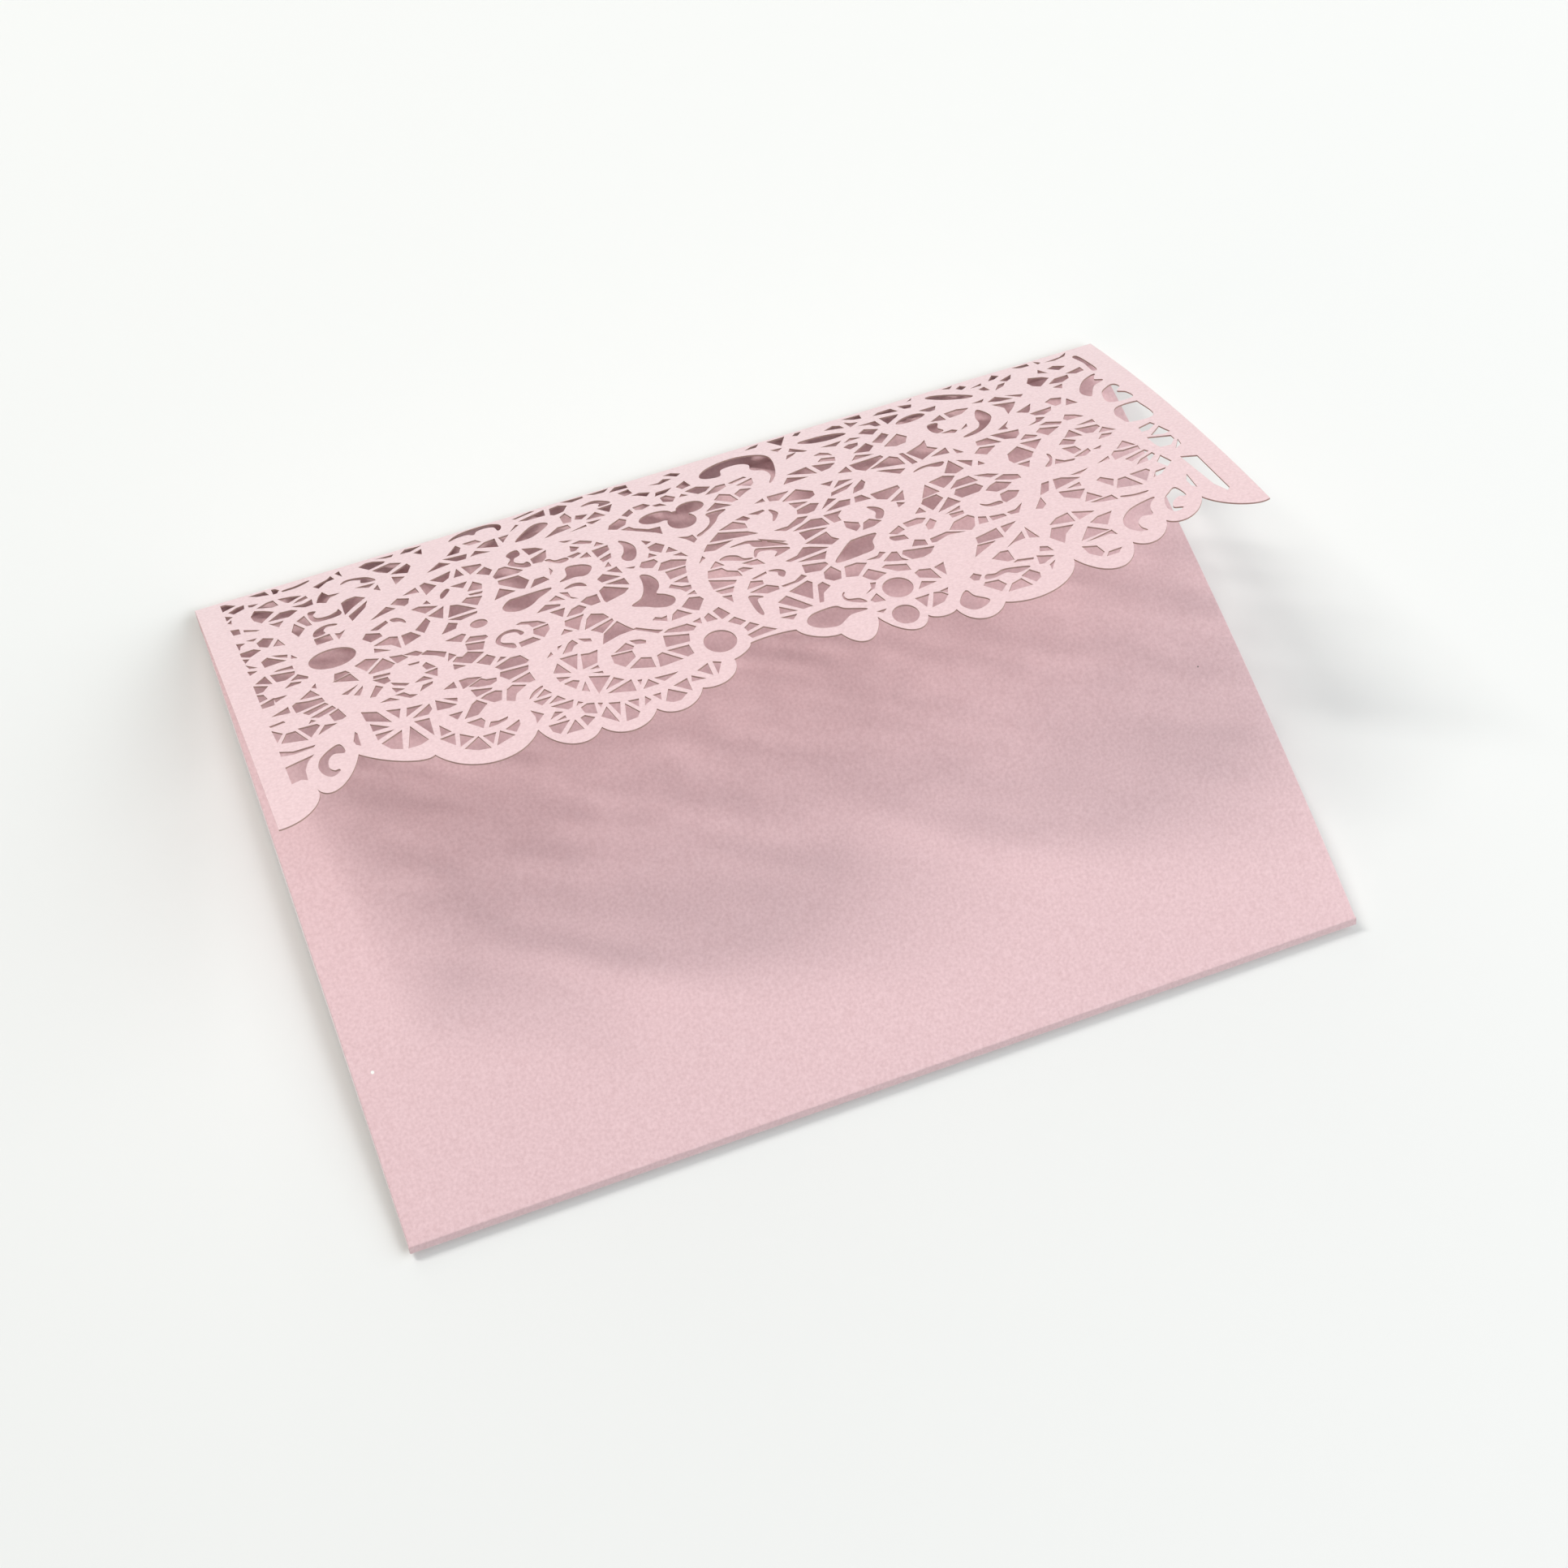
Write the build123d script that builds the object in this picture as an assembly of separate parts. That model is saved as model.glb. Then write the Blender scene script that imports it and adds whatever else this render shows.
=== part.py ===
"""Pocket wedding invitation: one card sheet, creased and glued into a pocket under a lace-cut flap.

X runs along the long edges, Y from the spine up to the fold, and Z up from the table.
The origin is the middle of the back panel, on its lower face.
"""

from build123d import *
import os
from math import asin, atan2, cos, degrees, radians, sin

# The card and the closed pocket
card_thickness = 0.3
pocket_width = 185.0
pocket_height = 130.0

# The spine between the back and front panels, and the front panel's bow
spine_rise = 1.6
spine_setback = 1.0
front_bow = 3.3
mouth_setback = 4.8
mouth_gap = 0.8

# The glued side tabs
tab_width = 12.0
tab_taper = 9.0
tab_inset = 3.0

# The fold and the lifted flap
fold_inner_radius = 0.4
flap_lift_angle = 42.8
flap_bend_radius = 440.0
flap_depth = 83.0
cut_overrun = 1.2

# The lace, with places as shares of the flap's width and depth.
# Radii, bulges and half axes are shares of the depth alone.
flap_reach_share = 1.08

# Scalloped free edge, from the left corner to the right: middle and end of each curve.
# A smaller weight makes the scallops rounder.
scallop_weight_share = 0.5
edge_start_shares = (0.0, 1.0)
edge_curve_shares = (
    ((0.034, 0.972), (0.045, 0.907)),
    ((0.066, 0.925), (0.092, 0.834)),
    ((0.128, 0.905), (0.156, 0.916)),
    ((0.203, 0.999), (0.252, 0.940)),
    ((0.276, 1.021), (0.306, 0.996)),
    ((0.332, 1.037), (0.360, 0.993)),
    ((0.384, 1.021), (0.408, 0.972)),
    ((0.436, 0.969), (0.449, 0.910)),
    ((0.464, 0.894), (0.471, 0.872)),
    ((0.494, 0.868), (0.517, 0.876)),
    ((0.530, 0.920), (0.552, 0.937)),
    ((0.572, 0.987), (0.592, 0.920)),
    ((0.614, 0.998), (0.635, 0.966)),
    ((0.647, 0.985), (0.662, 0.977)),
    ((0.680, 1.035), (0.707, 1.003)),
    ((0.758, 1.012), (0.792, 0.932)),
    ((0.824, 1.008), (0.853, 0.937)),
    ((0.876, 0.955), (0.897, 0.898)),
    ((0.921, 0.910), (0.945, 0.853)),
    ((0.970, 0.918), (1.0, 0.934)),
)

# Cells between the bands of the lace: three to six corners each, with straight sides
cell_shares = (
    # left border and the wheels beside it
    ((0.026, 0.018), (0.032, 0.018), (0.047, 0.050), (0.046, 0.070), (0.026, 0.108)),
    ((0.050, 0.125), (0.059, 0.089), (0.076, 0.072), (0.079, 0.105), (0.072, 0.133), (0.057, 0.172)),
    ((0.082, 0.073), (0.104, 0.091), (0.109, 0.113), (0.094, 0.121), (0.087, 0.100)),
    ((0.064, 0.176), (0.078, 0.148), (0.091, 0.138), (0.112, 0.128), (0.111, 0.155), (0.084, 0.182)),
    ((0.171, 0.030), (0.179, 0.019), (0.197, 0.040), (0.211, 0.075), (0.194, 0.107)),
    ((0.197, 0.120), (0.216, 0.090), (0.218, 0.107), (0.207, 0.154), (0.196, 0.180)),
    ((0.081, 0.263), (0.086, 0.226), (0.098, 0.202), (0.101, 0.255), (0.085, 0.293)),
    ((0.138, 0.193), (0.145, 0.182), (0.155, 0.183), (0.162, 0.215), (0.140, 0.295)),
    ((0.156, 0.320), (0.190, 0.255), (0.200, 0.270), (0.195, 0.296)),
    ((0.141, 0.395), (0.152, 0.366), (0.169, 0.343), (0.170, 0.354), (0.159, 0.406), (0.147, 0.417)),
    ((0.148, 0.438), (0.165, 0.420), (0.172, 0.428), (0.171, 0.482), (0.147, 0.468)),
    ((0.029, 0.448), (0.049, 0.420), (0.067, 0.417), (0.067, 0.443), (0.056, 0.469), (0.043, 0.467)),
    ((0.123, 0.499), (0.135, 0.484), (0.150, 0.503), (0.158, 0.538), (0.133, 0.552)),
    ((0.053, 0.583), (0.074, 0.544), (0.080, 0.573), (0.082, 0.602), (0.054, 0.614)),
    ((0.026, 0.803), (0.054, 0.787), (0.044, 0.815), (0.040, 0.867), (0.026, 0.864)),
    ((0.110, 0.689), (0.123, 0.705), (0.132, 0.757), (0.128, 0.772), (0.113, 0.770)),
    ((0.132, 0.710), (0.165, 0.729), (0.147, 0.755), (0.140, 0.751)),
    ((0.114, 0.786), (0.131, 0.787), (0.137, 0.798), (0.131, 0.862), (0.116, 0.823)),
    ((0.146, 0.794), (0.156, 0.858), (0.148, 0.867), (0.137, 0.867)),
    ((0.152, 0.782), (0.165, 0.786), (0.178, 0.855), (0.163, 0.852)),
    ((0.186, 0.930), (0.199, 0.902), (0.215, 0.906), (0.209, 0.942), (0.194, 0.946)),
    # second quarter, from the fold down
    ((0.230, 0.170), (0.251, 0.125), (0.275, 0.134), (0.272, 0.156)),
    ((0.338, 0.018), (0.359, 0.004), (0.371, 0.018), (0.369, 0.050), (0.346, 0.046)),
    ((0.197, 0.247), (0.222, 0.217), (0.231, 0.247), (0.218, 0.278)),
    ((0.264, 0.194), (0.282, 0.206), (0.289, 0.253), (0.284, 0.272)),
    ((0.227, 0.412), (0.234, 0.363), (0.252, 0.350), (0.266, 0.362), (0.255, 0.409)),
    ((0.198, 0.328), (0.205, 0.324), (0.227, 0.354), (0.221, 0.408)),
    ((0.287, 0.295), (0.296, 0.258), (0.302, 0.257), (0.316, 0.298), (0.311, 0.305)),
    ((0.288, 0.333), (0.289, 0.316), (0.309, 0.318), (0.316, 0.355), (0.308, 0.386)),
    ((0.328, 0.194), (0.340, 0.208), (0.348, 0.236), (0.344, 0.272), (0.330, 0.283)),
    ((0.210, 0.603), (0.229, 0.549), (0.246, 0.560), (0.240, 0.601), (0.225, 0.630)),
    ((0.244, 0.675), (0.261, 0.656), (0.270, 0.658), (0.275, 0.690), (0.248, 0.690)),
    ((0.207, 0.717), (0.207, 0.683), (0.215, 0.683), (0.239, 0.715), (0.232, 0.733)),
    ((0.218, 0.772), (0.224, 0.764), (0.238, 0.768), (0.234, 0.800), (0.227, 0.799)),
    ((0.196, 0.826), (0.211, 0.778), (0.218, 0.800), (0.208, 0.826)),
    ((0.291, 0.763), (0.303, 0.718), (0.319, 0.720), (0.312, 0.775), (0.305, 0.780)),
    ((0.319, 0.815), (0.336, 0.834), (0.319, 0.884)),
    ((0.263, 0.940), (0.282, 0.941), (0.290, 0.983), (0.275, 0.982)),
    ((0.311, 0.962), (0.319, 0.936), (0.332, 0.934), (0.323, 0.997)),
    ((0.339, 0.636), (0.352, 0.582), (0.362, 0.595), (0.367, 0.635), (0.352, 0.668)),
    ((0.347, 0.712), (0.353, 0.681), (0.371, 0.649), (0.380, 0.693)),
    ((0.375, 0.058), (0.378, 0.022), (0.387, 0.017), (0.395, 0.032), (0.388, 0.059)),
    ((0.330, 0.145), (0.343, 0.099), (0.366, 0.085), (0.354, 0.131)),
    ((0.418, 0.300), (0.427, 0.353), (0.418, 0.406), (0.413, 0.353)),
    ((0.343, 0.406), (0.357, 0.354), (0.370, 0.357), (0.376, 0.380), (0.368, 0.405)),
    ((0.417, 0.227), (0.433, 0.190), (0.438, 0.205), (0.434, 0.228), (0.424, 0.240)),
    ((0.371, 0.545), (0.372, 0.497), (0.378, 0.485), (0.398, 0.522), (0.392, 0.537)),
    ((0.435, 0.487), (0.442, 0.458), (0.452, 0.457), (0.465, 0.476), (0.461, 0.495)),
    ((0.440, 0.503), (0.460, 0.503), (0.457, 0.532), (0.440, 0.538)),
    ((0.402, 0.753), (0.424, 0.773), (0.421, 0.799), (0.399, 0.794)),
    ((0.347, 0.795), (0.352, 0.758), (0.366, 0.736), (0.371, 0.755), (0.367, 0.795), (0.354, 0.819)),
    # third quarter
    ((0.530, 0.240), (0.538, 0.218), (0.560, 0.225), (0.570, 0.235), (0.550, 0.275)),
    ((0.602, 0.266), (0.612, 0.223), (0.634, 0.213), (0.639, 0.262)),
    ((0.577, 0.326), (0.578, 0.302), (0.608, 0.305), (0.621, 0.340), (0.613, 0.370)),
    ((0.616, 0.437), (0.629, 0.399), (0.647, 0.430), (0.643, 0.453)),
    ((0.669, 0.437), (0.698, 0.433), (0.698, 0.447), (0.679, 0.480), (0.671, 0.467)),
    ((0.497, 0.432), (0.510, 0.402), (0.536, 0.435), (0.544, 0.457)),
    ((0.513, 0.392), (0.543, 0.360), (0.547, 0.378), (0.538, 0.418)),
    ((0.576, 0.495), (0.599, 0.468), (0.609, 0.476), (0.611, 0.508)),
    ((0.580, 0.518), (0.607, 0.527), (0.609, 0.585), (0.600, 0.598), (0.578, 0.563)),
    ((0.552, 0.612), (0.573, 0.577), (0.595, 0.606), (0.584, 0.647), (0.559, 0.628)),
    ((0.471, 0.634), (0.477, 0.555), (0.490, 0.558), (0.503, 0.613), (0.492, 0.635)),
    ((0.518, 0.760), (0.555, 0.712), (0.558, 0.723), (0.544, 0.809), (0.535, 0.810)),
    ((0.572, 0.725), (0.584, 0.686), (0.608, 0.702), (0.616, 0.714), (0.601, 0.752)),
    ((0.605, 0.760), (0.614, 0.740), (0.630, 0.744), (0.649, 0.764), (0.649, 0.789), (0.613, 0.788)),
    ((0.653, 0.722), (0.656, 0.711), (0.684, 0.730), (0.668, 0.757)),
    ((0.593, 0.677), (0.604, 0.640), (0.622, 0.607), (0.643, 0.607), (0.633, 0.664), (0.620, 0.674)),
    ((0.653, 0.650), (0.669, 0.608), (0.671, 0.629), (0.668, 0.669)),
    ((0.675, 0.603), (0.690, 0.599), (0.704, 0.634), (0.696, 0.659)),
    ((0.651, 0.807), (0.656, 0.800), (0.681, 0.800), (0.676, 0.847), (0.669, 0.853)),
    ((0.622, 0.010), (0.641, 0.009), (0.631, 0.055)),
    ((0.681, 0.925), (0.694, 0.976), (0.687, 0.994), (0.676, 0.994), (0.669, 0.965)),
    ((0.648, 0.075), (0.671, 0.072), (0.697, 0.095), (0.674, 0.099)),
    # right quarter
    ((0.706, 0.030), (0.707, 0.010), (0.726, 0.013), (0.725, 0.035), (0.711, 0.047)),
    ((0.713, 0.188), (0.729, 0.154), (0.747, 0.210), (0.741, 0.238), (0.730, 0.243)),
    ((0.674, 0.270), (0.708, 0.267), (0.709, 0.278), (0.683, 0.320)),
    ((0.691, 0.325), (0.717, 0.291), (0.722, 0.304), (0.722, 0.343)),
    ((0.733, 0.295), (0.759, 0.257), (0.763, 0.315), (0.741, 0.348)),
    ((0.782, 0.172), (0.795, 0.152), (0.815, 0.147), (0.826, 0.158), (0.815, 0.178)),
    ((0.749, 0.443), (0.762, 0.390), (0.782, 0.423), (0.777, 0.447), (0.758, 0.458)),
    ((0.741, 0.520), (0.753, 0.492), (0.771, 0.490), (0.793, 0.518)),
    ((0.740, 0.550), (0.745, 0.530), (0.766, 0.530), (0.770, 0.550), (0.763, 0.566), (0.744, 0.570)),
    ((0.770, 0.572), (0.797, 0.530), (0.809, 0.545), (0.809, 0.562), (0.788, 0.587)),
    ((0.705, 0.545), (0.710, 0.529), (0.724, 0.525), (0.739, 0.585), (0.713, 0.602)),
    ((0.776, 0.635), (0.779, 0.606), (0.788, 0.600), (0.797, 0.613), (0.790, 0.633)),
    ((0.710, 0.685), (0.719, 0.660), (0.735, 0.649), (0.749, 0.675), (0.747, 0.700), (0.728, 0.710)),
    ((0.724, 0.770), (0.726, 0.748), (0.749, 0.735), (0.771, 0.730), (0.749, 0.774)),
    ((0.717, 0.973), (0.725, 0.950), (0.748, 0.922), (0.754, 0.942), (0.740, 0.974)),
    ((0.797, 0.785), (0.820, 0.758), (0.844, 0.783), (0.824, 0.799)),
    ((0.788, 0.832), (0.796, 0.800), (0.816, 0.810), (0.796, 0.865)),
    ((0.812, 0.659), (0.822, 0.615), (0.843, 0.615), (0.859, 0.636), (0.830, 0.654)),
    ((0.830, 0.695), (0.830, 0.670), (0.853, 0.688), (0.842, 0.719)),
    ((0.800, 0.362), (0.802, 0.342), (0.820, 0.332), (0.848, 0.344), (0.839, 0.380)),
    ((0.814, 0.475), (0.818, 0.445), (0.832, 0.423), (0.841, 0.468), (0.816, 0.492)),
    ((0.850, 0.165), (0.874, 0.185), (0.855, 0.252), (0.858, 0.215)),
    ((0.881, 0.448), (0.891, 0.420), (0.919, 0.433), (0.920, 0.444), (0.909, 0.462)),
    ((0.870, 0.474), (0.877, 0.458), (0.886, 0.476), (0.883, 0.523), (0.874, 0.530)),
    ((0.802, 0.040), (0.825, 0.057), (0.842, 0.095), (0.819, 0.078)),
    ((0.902, 0.120), (0.908, 0.095), (0.925, 0.125), (0.910, 0.158)),
    ((0.960, 0.270), (0.974, 0.298), (0.972, 0.345), (0.957, 0.317)),
    ((0.963, 0.385), (0.972, 0.425), (0.963, 0.465), (0.954, 0.425)),
    ((0.920, 0.160), (0.930, 0.140), (0.963, 0.118), (0.963, 0.140), (0.932, 0.170)),
    ((0.951, 0.600), (0.950, 0.558), (0.970, 0.524), (0.974, 0.558), (0.963, 0.616)),
    ((0.961, 0.678), (0.975, 0.693), (0.975, 0.850), (0.966, 0.820)),
    ((0.904, 0.608), (0.905, 0.585), (0.926, 0.540), (0.934, 0.575), (0.933, 0.595)),
    ((0.882, 0.723), (0.890, 0.690), (0.921, 0.684), (0.923, 0.693), (0.906, 0.739)),
)

# Round and oval gaps: middle, half axes along and across the flap
oval_shares = (
    (0.106, 0.436, 0.050, 0.041),
    (0.447, 0.832, 0.033, 0.041),
    (0.627, 0.838, 0.030, 0.038),
    (0.616, 0.939, 0.026, 0.034),
)

# Leaves and crescents: two tips, then the bulge to the left of each of the two sides
lens_shares = (
    ((0.832, 0.184), (0.798, 0.302), 0.050, 0.018),
    ((0.903, 0.803), (0.873, 0.908), -0.054, -0.018),
    ((0.078, 0.785), (0.070, 0.872), -0.050, -0.020),
    ((0.534, 0.100), (0.594, 0.230), 0.140, 0.077),
)

# Pods: tip, middle of the round end, radius of the round end
pod_shares = (
    ((0.330, 0.417), (0.294, 0.447), 0.028),
    ((0.588, 0.879), (0.550, 0.872), 0.034),
)

# Clusters of ovals and pods that run together: the three-lobed leaf and the boot-shaped leaf
trefoil_shares = (
    (0.465, 0.234, 0.036, 0.027),
    (0.503, 0.237, 0.029, 0.028),
    (0.487, 0.296, 0.031, 0.037),
    (0.487, 0.258, 0.028, 0.022),
)
boot_shares = (
    ((0.416, 0.483), (0.421, 0.610), 0.028),
    ((0.392, 0.600), (0.421, 0.610), 0.028),
)


def flap_point(shares):
    """Point on the flap's flat drawing: X from the middle, Y negative away from the fold."""
    across, down = shares
    return Vector((across - 0.5) * pocket_width, -down * flap_depth)


def polar(hub, radius, angle):
    """Point at a radius and an angle from a hub."""
    return hub + Vector(radius * cos(radians(angle)), radius * sin(radians(angle)))


def cell_gap(corners):
    """Gap with straight sides."""
    return make_face(Polyline([flap_point(corner) for corner in corners], close=True))


def oval_gap(row):
    """Oval gap with its axes along X and Y."""
    across, down, half_width, half_height = row
    oval = Ellipse(half_width * flap_depth, half_height * flap_depth)
    return Pos(flap_point((across, down))) * oval


def lens_gap(row):
    """Leaf or crescent between two arcs that share their tips."""
    tip_shares, end_shares, left_share, right_share = row
    tip = flap_point(tip_shares)
    end = flap_point(end_shares)
    middle = (tip + end) / 2
    across = (end - tip).normalized().rotate(Axis.Z, 90)
    left = ThreePointArc(tip, middle + across * left_share * flap_depth, end)
    right = ThreePointArc(end, middle + across * right_share * flap_depth, tip)
    return make_face([left, right])


def pod_gap(row):
    """Drop-shaped gap: a round end with two straight sides that run to a tip."""
    tip_shares, round_shares, radius_share = row
    tip = flap_point(tip_shares)
    middle = flap_point(round_shares)
    radius = radius_share * flap_depth
    reach = tip - middle
    heading = degrees(atan2(reach.Y, reach.X))
    spread = 90 - degrees(asin(radius / reach.length))
    start = polar(middle, radius, heading + spread)
    end = polar(middle, radius, heading - spread)
    back = polar(middle, radius, heading + 180)
    return make_face([Line(tip, start), ThreePointArc(start, back, end), Line(end, tip)])


def scallop(start, middle, end):
    """Elliptic curve through three points, which keeps clear of its neighbours at any width and depth."""
    control = (middle * (1 + scallop_weight_share) - (start + end) / 2) / scallop_weight_share
    return Bezier(start, control, end, weights=[1, scallop_weight_share, 1])


def beyond_edge():
    """Everything past the scalloped free edge of the flap."""
    points = [flap_point(edge_start_shares)]
    edges = []
    for middle, end in edge_curve_shares:
        points.append(flap_point(end))
        edges.append(scallop(points[-2], flap_point(middle), points[-1]))
    side = Vector(cut_overrun, 0)
    foot = -flap_reach_share * flap_depth - cut_overrun
    left = points[0] - side
    right = points[-1] + side
    border = Polyline(points[-1], right, Vector(right.X, foot), Vector(left.X, foot), left, points[0])
    return make_face(edges + border.edges())


def lace_drawing():
    """Faces of all that is cut from the flap, in its flat drawing."""
    faces = [beyond_edge()]
    faces += [cell_gap(corners) for corners in cell_shares]
    faces += [oval_gap(row) for row in oval_shares]
    faces += [lens_gap(row) for row in lens_shares]
    faces += [pod_gap(row) for row in pod_shares]
    faces.append(Sketch() + [oval_gap(row) for row in trefoil_shares])
    faces.append(Sketch() + [pod_gap(row) for row in boot_shares])
    return faces


# Middle line of the card in the YZ plane, from the pocket mouth round to the flap's tip
half_card = card_thickness / 2
fold_radius = fold_inner_radius + half_card
back_bottom = Vector(-pocket_height / 2 + half_card, half_card)
back_top = Vector(pocket_height / 2 - half_card - fold_radius, half_card)
spine_top = back_bottom + Vector(spine_setback, spine_rise)
mouth = Vector(pocket_height / 2 - mouth_setback, card_thickness + mouth_gap + half_card)
front_middle = (spine_top + mouth) / 2 + Vector(0, front_bow)

fold_middle = back_top + Vector(0, fold_radius)
fold_turn = 180 - flap_lift_angle
flap_root = polar(fold_middle, fold_radius, fold_turn - 90)
flap_centre = polar(flap_root, flap_bend_radius, fold_turn + 90)
flap_turn = degrees(flap_reach_share * flap_depth / flap_bend_radius)

front_line = ThreePointArc(mouth, front_middle, spine_top)
fold_line = CenterArc(fold_middle, fold_radius, -90, fold_turn)
flap_line = CenterArc(flap_centre, flap_bend_radius, fold_turn - 90, flap_turn)
card_line = Wire([
    front_line,
    Line(spine_top, back_bottom),
    Line(back_bottom, back_top),
    fold_line,
    flap_line,
])

# The folded sheet, as one strip of card drawn along X
section_plane = Plane(origin=(0, 0, 0), x_dir=(0, 1, 0), z_dir=(1, 0, 0))
section = Face(card_line.offset_2d(half_card))
sheet = extrude(section_plane * section, pocket_width / 2, both=True)

# Side tabs: a wall down from the front panel's edge, and a foot glued to the back panel
mouth_foot = Vector(mouth.X, half_card)
wall_outline = make_face([
    front_line,
    Line(spine_top, back_bottom),
    Line(back_bottom, mouth_foot),
    Line(mouth_foot, mouth),
])
wall_place = Pos(pocket_width / 2 - card_thickness, 0, 0)
wall = wall_place * extrude(section_plane * wall_outline, card_thickness)
foot_outer = pocket_width / 2 - half_card
foot_inner = foot_outer - tab_width
foot_bottom = spine_top.X + tab_inset
foot_top = mouth.X - tab_inset
foot_outline = make_face(Polyline(
    (foot_outer, foot_bottom),
    (foot_inner, foot_bottom + tab_taper),
    (foot_inner, foot_top - tab_taper),
    (foot_outer, foot_top),
    close=True,
))
foot = Pos(0, 0, half_card) * extrude(foot_outline, card_thickness + half_card)
tab = wall + foot
pocket = sheet + tab + mirror(tab, about=Plane.YZ)

# The lace is cut square to the flap's chord, from just under the card to just over its bow
chord_angle = flap_lift_angle - degrees(flap_depth / flap_bend_radius) / 2
flap_normal = Vector(0, sin(radians(chord_angle)), cos(radians(chord_angle)))
flap_bow = flap_depth**2 / flap_bend_radius / 8
lace_origin = Vector(0, flap_root.X, flap_root.Y) - flap_normal * cut_overrun
lace_plane = Plane(origin=lace_origin, x_dir=(1, 0, 0), z_dir=flap_normal)
lace_height = flap_bow + 2 * cut_overrun
cuts = [extrude(lace_plane * face, lace_height) for face in lace_drawing()]

pocket_sheet = pocket - cuts
pocket_sheet.label = "pocket_sheet"

os.makedirs("parts", exist_ok=True)
export_step(pocket_sheet, "parts/pocket_sheet.step")
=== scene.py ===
"""Looks of the pocket wedding invitation: the creased card, its lace-cut flap, the floor, lights and camera.

Lengths are in metres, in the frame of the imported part.
"""

import bisect
from math import atan, atan2, cos, pi, radians, sin, tan

import bmesh
import bpy
from mathutils import Matrix, Vector
from mathutils.geometry import delaunay_2d_cdt


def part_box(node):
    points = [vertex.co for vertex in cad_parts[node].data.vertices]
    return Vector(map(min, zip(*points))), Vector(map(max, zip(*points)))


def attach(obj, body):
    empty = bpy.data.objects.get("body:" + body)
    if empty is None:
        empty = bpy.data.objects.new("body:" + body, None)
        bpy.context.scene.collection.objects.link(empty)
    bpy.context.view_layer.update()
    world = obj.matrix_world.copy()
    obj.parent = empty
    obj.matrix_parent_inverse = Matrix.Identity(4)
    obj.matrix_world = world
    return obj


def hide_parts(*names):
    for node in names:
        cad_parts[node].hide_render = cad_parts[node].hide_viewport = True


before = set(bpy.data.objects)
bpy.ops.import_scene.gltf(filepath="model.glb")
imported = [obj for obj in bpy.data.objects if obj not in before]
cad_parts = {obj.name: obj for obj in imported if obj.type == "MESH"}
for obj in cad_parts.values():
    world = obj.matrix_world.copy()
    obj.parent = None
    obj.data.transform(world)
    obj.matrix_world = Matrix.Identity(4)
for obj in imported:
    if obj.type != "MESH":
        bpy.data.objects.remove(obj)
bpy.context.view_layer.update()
cad_low, cad_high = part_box("pocket_sheet")

# The card and the closed pocket
card_thickness = 0.0003
half_card = card_thickness / 2
half_width = (cad_high[0] - cad_low[0]) / 2
spine_rise = 0.0016
spine_setback = 0.0010
front_bow = 0.0033
mouth_setback = 0.0048
mouth_gap = 0.0008
crease_radius = 0.0003

# The glued side tabs
tab_width = 0.012
tab_taper = 0.009
tab_inset = 0.003

# The fold and the lifted flap
fold_inner_radius = 0.0004
fold_radius = fold_inner_radius + half_card
flap_lift = radians(42.8)
flap_bend_radius = 0.440
flap_depth = 0.083
flap_reach_share = 1.08

# Fineness of the mesh
front_steps = 40
crease_steps = 10
back_steps = 30
fold_steps = 24
flap_steps = 44
tab_steps = 6
scallop_steps = 24
curve_steps = 5
oval_steps = 48
grid_step = 0.004
weld_gap = 0.000001
sharp_angle = radians(40)

# The gaps of the lace below are drawn inside their cut edges, and grow outwards by this much
gap_growth = 0.00013
sharpest_mitre_share = 0.6

# Specks on the front panel, as the photograph shows them: place and radius
pale_speck = (-0.0888, -0.0324, 0.0043)
pale_speck_radius = 0.00032
dark_speck = (0.0834, -0.0083, 0.0051)
dark_speck_radius = 0.00022

# Finish of the card and of its cut edges: linear colours, gloss and the size of the felt grain
blush = (0.900, 0.655, 0.660, 1.0)
blush_deep = (0.640, 0.395, 0.400, 1.0)
pale_speck_colour = (0.95, 0.93, 0.88, 1.0)
dark_speck_colour = (0.25, 0.17, 0.16, 1.0)
edge_colour = (0.56, 0.37, 0.32, 1.0)
edge_deep = (0.40, 0.25, 0.21, 1.0)
card_roughness = 0.55
card_specular = 0.5
card_sheen = 1.0
card_sheen_roughness = 0.5
edge_roughness = 0.85
edge_specular = 0.1
grain_scale = 1700.0
grain_height = 0.00008
grain_strength = 0.7
burn_scale = 420.0
noise_detail = 4.0

# Stage, lights and camera
floor_reach = 6.0
fade_start = 0.30
fade_end = 0.80
floor_drop = 0.001
floor_colour = (0.865, 0.86, 0.82, 1.0)
floor_roughness = 1.0
floor_specular = 0.0
world_colour = (1.0, 1.0, 1.0, 1.0)
world_strength = 0.13
backdrop_colour = (0.91, 0.93, 0.90, 1.0)
key_place = (-0.96, 1.16, 1.61)
key_size = (0.18, 1.00)
key_power = 24.2
key_roll = radians(33)
key_colour = (1.0, 1.0, 1.0)
back_place = (-0.20, 1.60, 0.95)
back_size = (1.3, 1.3)
back_power = 9.8
back_colour = (0.97, 1.0, 0.98)
fill_place = (0.60, -1.05, 1.20)
fill_size = (0.8, 0.8)
fill_power = 8.4
fill_colour = (0.90, 0.94, 1.0)
side_place = (1.05, -0.20, 1.15)
side_size = (1.5, 1.5)
side_power = 14.0
camera_place = (-0.10889, -0.17284, 0.51033)
camera_aim = (0.00075, -0.00344, 0.0)
camera_roll = radians(13.09)
camera_lens = 67.12

# Lace of the flap. A row gives places across and down in turn, in thousandths of the flap's width and depth.
share_unit = 0.001

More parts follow.
